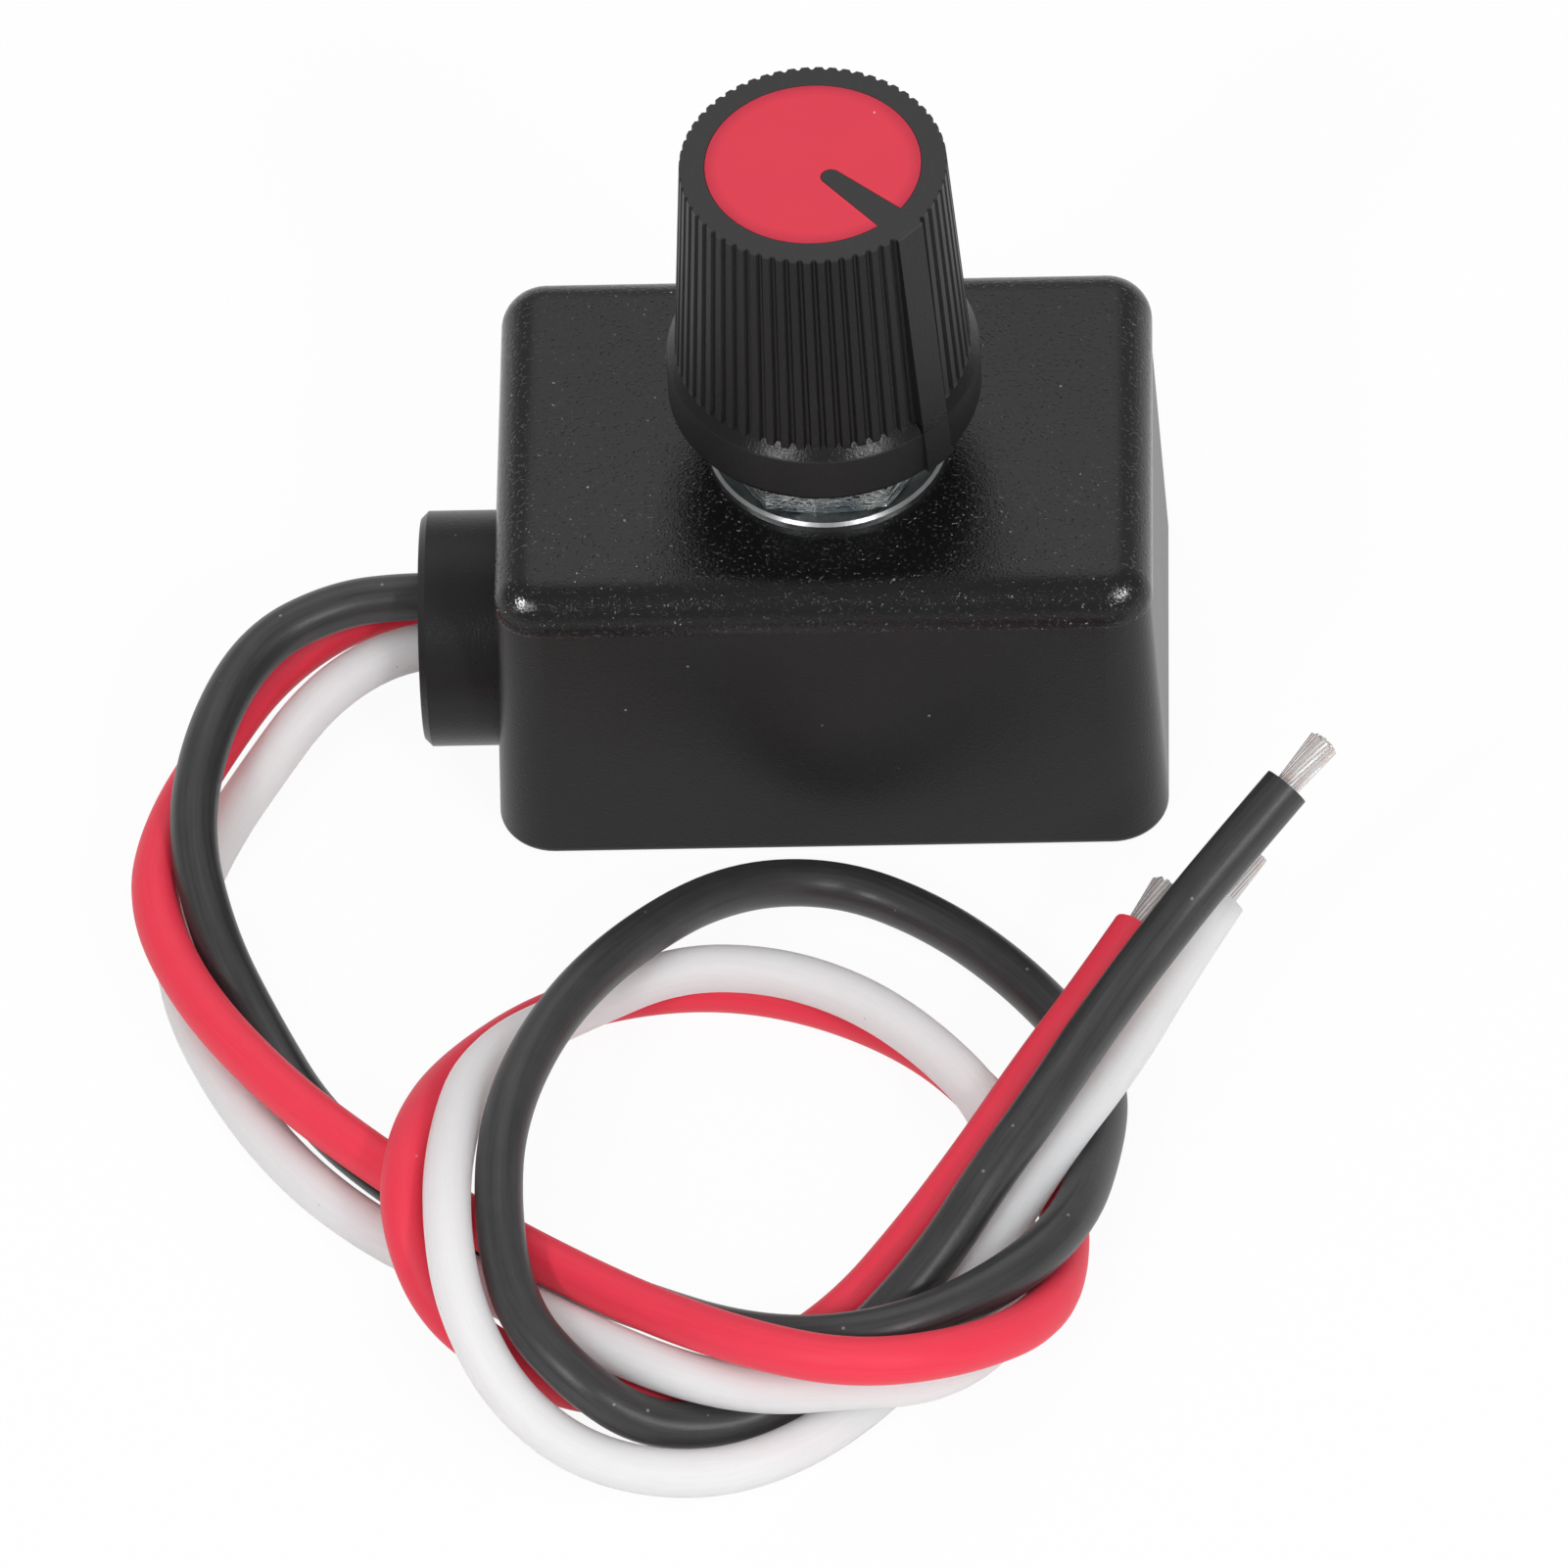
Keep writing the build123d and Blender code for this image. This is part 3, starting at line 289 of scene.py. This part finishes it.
# the three wires: route, sheath and stripped end
wire = {
    "diameter": 0.0023,
    "roundness": 8,
    "fineness": 10,
}
routes = {
    "black": [
        (-0.0112, -0.0004, 0.0066), (-0.0142, -0.0007, 0.0073), (-0.0174, -0.0008, 0.0076),
        (-0.0208, -0.0008, 0.0078), (-0.0242, -0.0013, 0.0078), (-0.0278, -0.0033, 0.0074),
        (-0.0301, -0.0077, 0.0066), (-0.0311, -0.0134, 0.0054), (-0.0298, -0.0189, 0.0037),
        (-0.0276, -0.0230, 0.0018), (-0.0247, -0.0286, 0.0012), (-0.0199, -0.0335, 0.0012),
        (-0.0147, -0.0374, 0.0012), (-0.0094, -0.0404, 0.0015), (-0.0040, -0.0445, 0.0037),
        (0.0013, -0.0461, 0.0054), (0.0065, -0.0439, 0.0052), (0.0114, -0.0391, 0.0047),
        (0.0129, -0.0308, 0.0022), (0.0127, -0.0259, 0.0012), (0.0092, -0.0206, 0.0012),
        (0.0048, -0.0163, 0.0012), (-0.0002, -0.0139, 0.0014), (-0.0055, -0.0162, 0.0036),
        (-0.0103, -0.0228, 0.0067), (-0.0136, -0.0280, 0.0072), (-0.0155, -0.0339, 0.0072),
        (-0.0156, -0.0394, 0.0062), (-0.0146, -0.0440, 0.0050), (-0.0118, -0.0471, 0.0039),
        (-0.0087, -0.0484, 0.0021), (-0.0046, -0.0478, 0.0012), (-0.0015, -0.0463, 0.0017),
        (0.0021, -0.0436, 0.0032), (0.0053, -0.0403, 0.0049), (0.0075, -0.0372, 0.0065),
        (0.0099, -0.0340, 0.0076), (0.0129, -0.0285, 0.0080), (0.0168, -0.0235, 0.0098),
        (0.0194, -0.0210, 0.0115), (0.0218, -0.0187, 0.0130),
    ],
    "red": [
        (-0.0112, 0.0017, 0.0053), (-0.0142, 0.0010, 0.0056), (-0.0174, 0.0009, 0.0057),
        (-0.0206, 0.0007, 0.0056), (-0.0240, -0.0001, 0.0053), (-0.0276, -0.0028, 0.0045),
        (-0.0302, -0.0070, 0.0037), (-0.0324, -0.0120, 0.0036), (-0.0329, -0.0169, 0.0037),
        (-0.0308, -0.0225, 0.0037), (-0.0267, -0.0282, 0.0037), (-0.0223, -0.0324, 0.0035),
        (-0.0179, -0.0361, 0.0034), (-0.0133, -0.0395, 0.0035), (-0.0085, -0.0433, 0.0045),
        (-0.0035, -0.0472, 0.0064), (0.0014, -0.0490, 0.0070), (0.0065, -0.0473, 0.0058),
        (0.0103, -0.0431, 0.0032), (0.0112, -0.0372, 0.0013), (0.0105, -0.0327, 0.0012),
        (0.0080, -0.0290, 0.0012), (0.0056, -0.0258, 0.0012), (0.0026, -0.0233, 0.0012),
        (-0.0014, -0.0213, 0.0012), (-0.0056, -0.0204, 0.0012), (-0.0099, -0.0207, 0.0012),
        (-0.0144, -0.0223, 0.0013), (-0.0185, -0.0282, 0.0036), (-0.0199, -0.0340, 0.0061),
        (-0.0202, -0.0381, 0.0055), (-0.0188, -0.0413, 0.0029), (-0.0159, -0.0432, 0.0012),
        (-0.0119, -0.0455, 0.0012), (-0.0078, -0.0457, 0.0012), (-0.0037, -0.0446, 0.0012),
        (0.0006, -0.0411, 0.0012), (0.0040, -0.0378, 0.0032), (0.0069, -0.0348, 0.0054),
        (0.0096, -0.0301, 0.0059), (0.0124, -0.0258, 0.0065), (0.0145, -0.0225, 0.0072),
    ],
    "white": [
        (-0.0112, -0.0026, 0.0053), (-0.0142, -0.0020, 0.0052), (-0.0174, -0.0017, 0.0053),
        (-0.0204, -0.0018, 0.0053), (-0.0230, -0.0028, 0.0050), (-0.0255, -0.0046, 0.0041),
        (-0.0277, -0.0074, 0.0028), (-0.0299, -0.0106, 0.0016), (-0.0318, -0.0160, 0.0012),
        (-0.0313, -0.0209, 0.0012), (-0.0288, -0.0268, 0.0012), (-0.0255, -0.0319, 0.0012),
        (-0.0213, -0.0359, 0.0012), (-0.0165, -0.0389, 0.0013), (-0.0118, -0.0436, 0.0031),
        (-0.0070, -0.0469, 0.0039), (-0.0030, -0.0478, 0.0037), (0.0008, -0.0475, 0.0037),
        (0.0048, -0.0467, 0.0030), (0.0080, -0.0428, 0.0013), (0.0088, -0.0381, 0.0012),
        (0.0081, -0.0340, 0.0020), (0.0078, -0.0306, 0.0035), (0.0047, -0.0265, 0.0037),
        (0.0011, -0.0233, 0.0037), (-0.0031, -0.0215, 0.0037), (-0.0076, -0.0213, 0.0036),
        (-0.0117, -0.0235, 0.0036), (-0.0168, -0.0285, 0.0057), (-0.0180, -0.0357, 0.0073),
        (-0.0179, -0.0410, 0.0070), (-0.0171, -0.0444, 0.0054), (-0.0151, -0.0475, 0.0032),
        (-0.0116, -0.0498, 0.0015), (-0.0068, -0.0509, 0.0012), (-0.0024, -0.0498, 0.0012),
        (0.0018, -0.0465, 0.0012), (0.0052, -0.0424, 0.0019), (0.0077, -0.0389, 0.0038),
        (0.0104, -0.0345, 0.0052), (0.0137, -0.0291, 0.0053), (0.0162, -0.0242, 0.0060),
        (0.0186, -0.0208, 0.0074),
    ],
}
sheath = {
    "sheenRough": 0.5, "soft": 0.0, "softDepth": 0.001, "softSpread": (1.0, 0.9, 0.85),
    "cloudScale": 700.0, "cloudShare": 0.5, "cloudHeight": 0.6,
    "streaks": (40.0, 40.0, 1.0), "streakScale": 1.0, "streakFrom": 0.3, "streakTo": 0.7,
    "streakShare": 0.5, "streakHeight": 0.8,
    "grainScale": 3800.0, "grainDepth": 0.00004, "grainStrength": 0.22,
    "speckScale": 620.0, "dustShare": 0.6,
}
sheathLook = {
    "black": dict(
        sheath, gloss=0.60, sheen=0.04, rough=0.40, roughSpread=0.20,
        dark=(0.016, 0.016, 0.017, 1), light=(0.044, 0.044, 0.045, 1),
        dust=(0.30, 0.30, 0.30, 1), speckSize=0.00010, speckShare=0.6),
    "red": dict(
        sheath, gloss=0.35, sheen=0.04, rough=0.52, roughSpread=0.12,
        dark=(0.84, 0.037, 0.072, 1), light=(0.91, 0.045, 0.086, 1),
        dust=(0.85, 0.4, 0.4, 1), speckSize=0.00008, speckShare=0.3),
    "white": dict(
        sheath, gloss=0.4, sheen=0.05, rough=0.50, roughSpread=0.12, soft=1.0, softDepth=0.0040,
        dark=(0.815, 0.80, 0.805, 1), light=(0.865, 0.855, 0.86, 1),
        dust=(0.45, 0.44, 0.44, 1), speckSize=0.00007, speckShare=0.3),
}


def layWire(colour):
    line = bpy.data.curves.new(colour + "Wire", "CURVE")
    line.dimensions = "3D"
    line.bevel_depth = wire["diameter"] / 2
    line.bevel_resolution = wire["roundness"]
    line.resolution_u = wire["fineness"]
    line.use_fill_caps = True
    run = line.splines.new("NURBS")
    run.points.add(len(routes[colour]) - 1)
    for point, place in zip(run.points, routes[colour]):
        point.co = (*place, 1.0)
    run.order_u = 3
    run.use_endpoint_u = True
    piece = bpy.data.objects.new(colour + "Wire", line)
    scene.collection.objects.link(piece)
    line.materials.append(siliconeSheath(colour + "Sheath", sheathLook[colour]))
    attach(piece, "dimmer")
    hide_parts("wire_" + colour)
    return piece


# a stripped end: tinned strands, twisted together and fanned out a little at the cut
strands = {
    "radius": 0.000068,
    "sides": 6,
    "cuts": 9,
    "length": 0.0030,
    "sunk": 0.0004,
    # each ring: how many, how far out, and how far it is turned, in strands
    "rings": ((1, 0.0, 0.0), (6, 0.000130, 0.0), (12, 0.000258, 0.37), (18, 0.000386, 0.37), (24, 0.000512, 0.37)),
    "fan": 0.36,
    "twist": 35.0,
    "shortest": 0.95,
    "rounding": 0.07,
    "smoothUnder": 50.0,
    "seed": 7,
}
strandLook = {
    "tin": (0.79, 0.765, 0.76, 1), "copper": (0.75, 0.65, 0.61, 1), "copperFrom": 0.45, "copperTo": 0.75,
    "cloudScale": 1500.0, "rough": 0.52, "roughSpread": 0.2, "dentDepth": 0.00002, "dentStrength": 0.3,
}


def oneStrand():
    full = strands["length"] + strands["sunk"]
    bpy.ops.mesh.primitive_cylinder_add(
        vertices=strands["sides"], radius=strands["radius"], depth=full, location=(0, 0, full / 2))
    strand = bpy.context.object
    bpy.ops.object.transform_apply(location=True, rotation=True, scale=True)
    bpy.ops.object.mode_set(mode="EDIT")
    bpy.ops.mesh.select_all(action="DESELECT")
    bpy.ops.object.mode_set(mode="OBJECT")
    for edge in strand.data.edges:
        low, high = (strand.data.vertices[i].co for i in edge.vertices)
        edge.select = abs(high.z - low.z) > full / 2
    bpy.ops.object.mode_set(mode="EDIT")
    bpy.ops.mesh.select_mode(type="EDGE")
    bpy.ops.mesh.subdivide(number_cuts=strands["cuts"])
    bpy.ops.object.mode_set(mode="OBJECT")
    return strand


def strandBundle():
    chance = random.Random(strands["seed"])
    first = oneStrand()
    outer = strands["rings"][-1][1]
    copies = []
    for count, radius, turned in strands["rings"]:
        rounded = 1 - strands["rounding"] * (radius / outer) ** 2
        for number in range(count):
            turn = 2 * math.pi * (number + turned) / count
            copy = first.copy()
            copy.data = first.data.copy()
            copy.location = (radius * math.cos(turn), radius * math.sin(turn), 0)
            copy.scale.z = chance.uniform(strands["shortest"], 1.0) * rounded
            copy.rotation_euler.z = turn
            scene.collection.objects.link(copy)
            copies.append(copy)
    selectOnly(copies)
    bpy.ops.object.join()
    bundle = bpy.context.object
    bpy.ops.object.transform_apply(location=True, rotation=True, scale=True)
    for method in ("TAPER", "TWIST"):
        shape = bundle.modifiers.new(method.lower(), "SIMPLE_DEFORM")
        shape.deform_method = method
        shape.deform_axis = "Z"
        if method == "TAPER":
            shape.factor = strands["fan"]
        else:
            shape.angle = math.radians(strands["twist"])
        bpy.ops.object.modifier_apply(modifier=shape.name)
    bpy.ops.object.shade_smooth_by_angle(angle=math.radians(strands["smoothUnder"]))
    bpy.data.objects.remove(first)
    return bundle


wires = {colour: layWire(colour) for colour in routes}
bundle = strandBundle()
tin = tinnedCopper("tinnedStrands", strandLook)
for colour, route in routes.items():
    tip = Vector(route[-1])
    heading = (tip - Vector(route[-2])).normalized()
    ends = bundle.copy()
    ends.data = bundle.data.copy()
    ends.name = colour + "Strands"
    scene.collection.objects.link(ends)
    pointed = heading.to_track_quat("Z", "Y").to_matrix().to_4x4()
    ends.matrix_world = Matrix.Translation(tip - heading * strands["sunk"]) @ pointed
    selectOnly([ends])
    bpy.ops.object.transform_apply(location=True, rotation=True, scale=True)
    ends.data.materials.append(tin)
    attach(ends, "dimmer")
    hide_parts("wire_" + colour + "_end")
bpy.data.objects.remove(bundle)
print("wires laid:", ", ".join(wires))


# finishes of the moulded pieces; the housing has no band and no painted highlight higher up
housingLook = {
    "dark": (0.0058, 0.0058, 0.0060, 1), "light": (0.0085, 0.0085, 0.0087, 1), "cloudScale": 160.0,
    "top": (0.033, 0.033, 0.0334, 1), "topFrom": 1.0, "band": (-1.0, 1.0), "edge": 0.0001,
    "gloss": 0.36, "rough": 0.14, "roughOff": 0.14, "roughSpread": 0.04,
    "grainScale": 8000.0, "grainDepth": 0.000025, "grainStrength": 1.0,
    "pitScale": 5500.0, "pitFrom": 0.64, "pitTo": 0.78, "pitShare": 1.5,
    "dust": (0.24, 0.24, 0.24, 1), "dustRough": 0.4,
    "speckScale": 620.0, "speckSize": 0.00008, "speckShare": 0.4,
}
# the base's black is lighter than the lid's: painted reflection of the pale floor, in place of gloss
baseLook = dict(
    housingLook, dark=(0.017, 0.017, 0.0173, 1), light=(0.021, 0.021, 0.0213, 1),
    gloss=0.18, rough=0.32, roughOff=0.32, grainDepth=0.000018, pitShare=0.25)
# the knob keeps the lighter colour from topFrom up: a painted highlight on its upper ring
knobLook = dict(
    housingLook, gloss=0.30, rough=0.24, roughOff=0.46, band=(0.0240, 0.0246), topFrom=0.0366,
    grainDepth=0.000015, pitShare=0.3)
capLook = {
    "dark": (0.73, 0.040, 0.072, 1), "light": (0.79, 0.050, 0.084, 1), "cloudScale": 300.0,
    # the darker red near the cap's outer edge is painted shade
    "rim": (0.50, 0.026, 0.056, 1), "rimFrom": 0.0043, "rimTo": 0.0055, "rimWander": 0.0006,
    "gloss": 0.25, "rough": 0.5, "roughSpread": 0.1,
    "grainScale": 5000.0, "grainDepth": 0.00003, "grainStrength": 0.15,
    "dust": (0.9, 0.8, 0.8, 1), "dustRough": 0.2,
    "speckScale": 620.0, "speckSize": 0.00008, "speckShare": 0.5,
}

# finishes of the metal pieces
washerLook = {
    "blue": (0.31, 0.32, 0.325, 1), "pale": (0.38, 0.39, 0.39, 1), "paleFrom": 0.35, "paleTo": 0.65,
    "cloudScale": 900.0, "rough": 0.34, "roughSpread": 0.12,
    "scratchScale": 3000.0, "scratchStretch": (1.0, 1.0, 1.0), "scratchShare": 0.5,
    "dentDepth": 0.00003, "dentStrength": 0.5, "lean": 0.0,
}
nutLook = dict(
    washerLook, blue=(0.15, 0.18, 0.195, 1), pale=(0.46, 0.49, 0.485, 1), cloudScale=600.0, rough=0.13,
    scratchScale=300.0, scratchStretch=(1.0, 1.0, 8.0), dentDepth=0.0004, dentStrength=1.0, lean=800.0)
castingLook = {
    "dark": (0.50, 0.50, 0.50, 1), "light": (0.66, 0.66, 0.65, 1), "cloudScale": 900.0,
    "rough": 0.42, "roughSpread": 0.2, "scratchScale": 2500.0, "scratchStretch": (1.0, 1.0, 1.0),
    "scratchDepth": 0.00003, "scratchStrength": 0.3,
}
steelLook = dict(castingLook, dark=(0.60, 0.61, 0.62, 1), light=(0.74, 0.75, 0.75, 1), rough=0.3)
shaftLook = dict(
    castingLook, dark=(0.74, 0.75, 0.76, 1), light=(0.84, 0.85, 0.86, 1), rough=0.28,
    scratchStretch=(1.0, 1.0, 12.0))
brassLook = dict(castingLook, dark=(0.66, 0.48, 0.22, 1), light=(0.80, 0.61, 0.30, 1), rough=0.3)
solderLook = dict(castingLook, dark=(0.62, 0.62, 0.63, 1), light=(0.78, 0.78, 0.78, 1), rough=0.25)
copperLook = dict(castingLook, dark=(0.70, 0.67, 0.64, 1), light=(0.80, 0.79, 0.78, 1), rough=0.3)

# finishes of the plastic and laminate pieces inside
phenolicLook = {
    "dark": (0.10, 0.050, 0.022, 1), "light": (0.17, 0.088, 0.040, 1), "cloudScale": 1200.0,
    "rough": 0.5, "roughSpread": 0.15, "grainDepth": 0.00003, "grainStrength": 0.3,
}
rotorLook = dict(
    phenolicLook, dark=(0.60, 0.58, 0.53, 1), light=(0.72, 0.70, 0.65, 1), rough=0.45, cloudScale=500.0)
boardLook = dict(
    phenolicLook, dark=(0.012, 0.085, 0.030, 1), light=(0.022, 0.14, 0.050, 1), rough=0.4, cloudScale=900.0)
chipLook = dict(
    phenolicLook, dark=(0.010, 0.010, 0.011, 1), light=(0.020, 0.020, 0.021, 1), cloudScale=1500.0)
canLook = dict(
    phenolicLook, dark=(0.014, 0.022, 0.060, 1), light=(0.022, 0.034, 0.085, 1), rough=0.35, cloudScale=600.0)

steel = plainMetal("platedSteel", steelLook)
brass = plainMetal("brassStrip", brassLook)
chipBlack = innerPlastic("chipBlack", chipLook)
dressed = {
    "housing_base": mouldedPlastic("basePlastic", baseLook),
    "housing_lid": mouldedPlastic("housingPlastic", housingLook),
    "knob": mouldedPlastic("knobPlastic", knobLook),
    "knob_cap": cappedRed("capRed", capLook),
    "mounting_washer": zincPlated("washerZinc", washerLook),
    "mounting_nut": zincPlated("nutZinc", nutLook),
    "potentiometer_bushing": plainMetal("zincCasting", castingLook),
    "potentiometer_can": steel,
    "shaft_retaining_ring": steel,
    "potentiometer_shaft": plainMetal("shaftAluminium", shaftLook),
    "potentiometer_wafer": innerPlastic("phenolic", phenolicLook),
    "potentiometer_terminals": brass,
    "terminal_rivets": brass,
    "wiper_spring": brass,
    "potentiometer_rotor": innerPlastic("rotorPlastic", rotorLook),
    "circuit_board": innerPlastic("boardGreen", boardLook),
    "solder_joints": plainMetal("solder", solderLook),
    "power_transistor": chipBlack,
    "control_chip": chipBlack,
    "diode": chipBlack,
    "chip_resistors": chipBlack,
    "capacitor": innerPlastic("capacitorSleeve", canLook),
    "inner_conductors": plainMetal("innerCopper", copperLook),
}
for node, material in dressed.items():
    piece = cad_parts[node]
    piece.data.materials.clear()
    piece.data.materials.append(material)
print("finishes on", len(dressed), "nodes")


# studio: a pale sweep, darker where it rises behind
sweep = {
    "width": 5.0, "front": -2.2, "bend": 1.3, "radius": 0.5, "height": 2.4, "nearBend": 0.01,
    "curve": ((0.3, 0.04), (0.4, 0.22), (0.22, 0.4), (0.04, 0.3)),  # steps back and up, in radii
    "pale": (0.92, 0.92, 0.92, 1), "lift": 0.94, "white": (1, 1, 1, 1),
    "back": (0.52, 0.52, 0.52, 1), "backFrom": 0.05, "backTo": 0.5,
}
bpy.ops.object.select_all(action="DESELECT")
bpy.ops.mesh.primitive_plane_add(size=1, location=(0, 0, 0))
floor = bpy.context.object
floor.name = "paleSweep"
floor.scale = (sweep["width"], sweep["bend"] - sweep["front"], 1)
floor.location = (0, (sweep["bend"] + sweep["front"]) / 2, 0)
bpy.ops.object.transform_apply(location=True, rotation=True, scale=True)
backLine = sweep["bend"] - sweep["nearBend"]
for edge in floor.data.edges:
    edge.select = all(floor.data.vertices[i].co.y > backLine for i in edge.vertices)
for vertex in floor.data.vertices:
    vertex.select = vertex.co.y > backLine
for face in floor.data.polygons:
    face.select = False
bpy.ops.object.mode_set(mode="EDIT")
bpy.ops.mesh.select_mode(type="EDGE")
rises = [(sweep["radius"] * back, sweep["radius"] * up) for back, up in sweep["curve"]]
for back, up in rises + [(0, sweep["height"])]:
    bpy.ops.mesh.extrude_region_move(TRANSFORM_OT_translate={"value": (0, back, up)})
bpy.ops.object.mode_set(mode="OBJECT")
bpy.ops.object.shade_smooth()
paper = Finish("paleSweep", Base_Color=sweep["pale"], Roughness=1.0, Specular_IOR_Level=0.0)
seen = paper.node("ShaderNodeLightPath", {}, {}, "Is Camera Ray")
mirrored = paper.node("ShaderNodeLightPath", {}, {}, "Is Glossy Ray")
through = paper.node("ShaderNodeLightPath", {}, {}, "Is Transmission Ray")
risen = paper.step(paper.height(), sweep["backFrom"], sweep["backTo"])
tone = paper.blend(risen, sweep["white"], sweep["back"])
glow = paper.node("ShaderNodeEmission", {}, {"Color": tone, "Strength": 1.0})
body = Field(paper.tree, paper.shader.outputs[0])
lifted = (seen + mirrored + through) * sweep["lift"]
mixed = paper.node("ShaderNodeMixShader", {}, {0: lifted, 1: body, 2: glow})
paper.tree.links.new(mixed.socket, paper.tree.nodes["Material Output"].inputs["Surface"])
floor.data.materials.append(paper.material)

# seven lamps: the two glints light nothing, and only the lid and the nut mirror them
lamps = {
    "lampLeft": {"place": (-0.50, -0.80, 0.80), "size": 0.12, "power": 3.0, "lights": True, "mirrored": True},
    "lampRight": {"place": (0.50, -0.80, 0.80), "size": 0.12, "power": 3.0, "lights": True, "mirrored": True},
    "glintLeft": {"place": (-0.89, -0.53, 0.70), "size": 0.16, "power": 18.0, "lights": False, "mirrored": True},
    "glintRight": {"place": (0.83, -0.57, 0.75), "size": 0.16, "power": 13.0, "lights": False, "mirrored": True},
    "panelBack": {"place": (0.0, 0.70, 1.05), "size": 0.9, "power": 2.0, "lights": True, "mirrored": True},
    "softTop": {"place": (0.0, -0.25, 1.40), "size": 1.6, "power": 4.4, "lights": True, "mirrored": False},
    "softRight": {"place": (0.80, -0.75, 0.35), "size": 0.5, "power": 1.6, "lights": True, "mirrored": False},
}
glinting = bpy.data.collections.new("glinting")
for node in ("housing_lid", "mounting_nut"):
    glinting.objects.link(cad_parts[node])
for name, lamp in lamps.items():
    bpy.ops.object.light_add(type="AREA", location=lamp["place"])
    light = bpy.context.object
    light.name = name
    light.rotation_euler = (-Vector(lamp["place"])).to_track_quat("-Z", "Y").to_euler()
    light.data.shape = "SQUARE"
    light.data.size = lamp["size"]
    light.data.energy = lamp["power"]
    light.visible_camera = False
    light.visible_diffuse = lamp["lights"]
    light.visible_glossy = lamp["mirrored"]
    if not lamp["lights"]:
        light.light_linking.receiver_collection = glinting

fill = {"colour": (1.0, 1.0, 1.0, 1.0), "strength": 0.42}
world = bpy.data.worlds.new("studioFill")
world.use_nodes = True
background = world.node_tree.nodes["Background"]
background.inputs["Color"].default_value = fill["colour"]
background.inputs["Strength"].default_value = fill["strength"]
scene.world = world
print("studio lit by", len(lamps), "lamps")
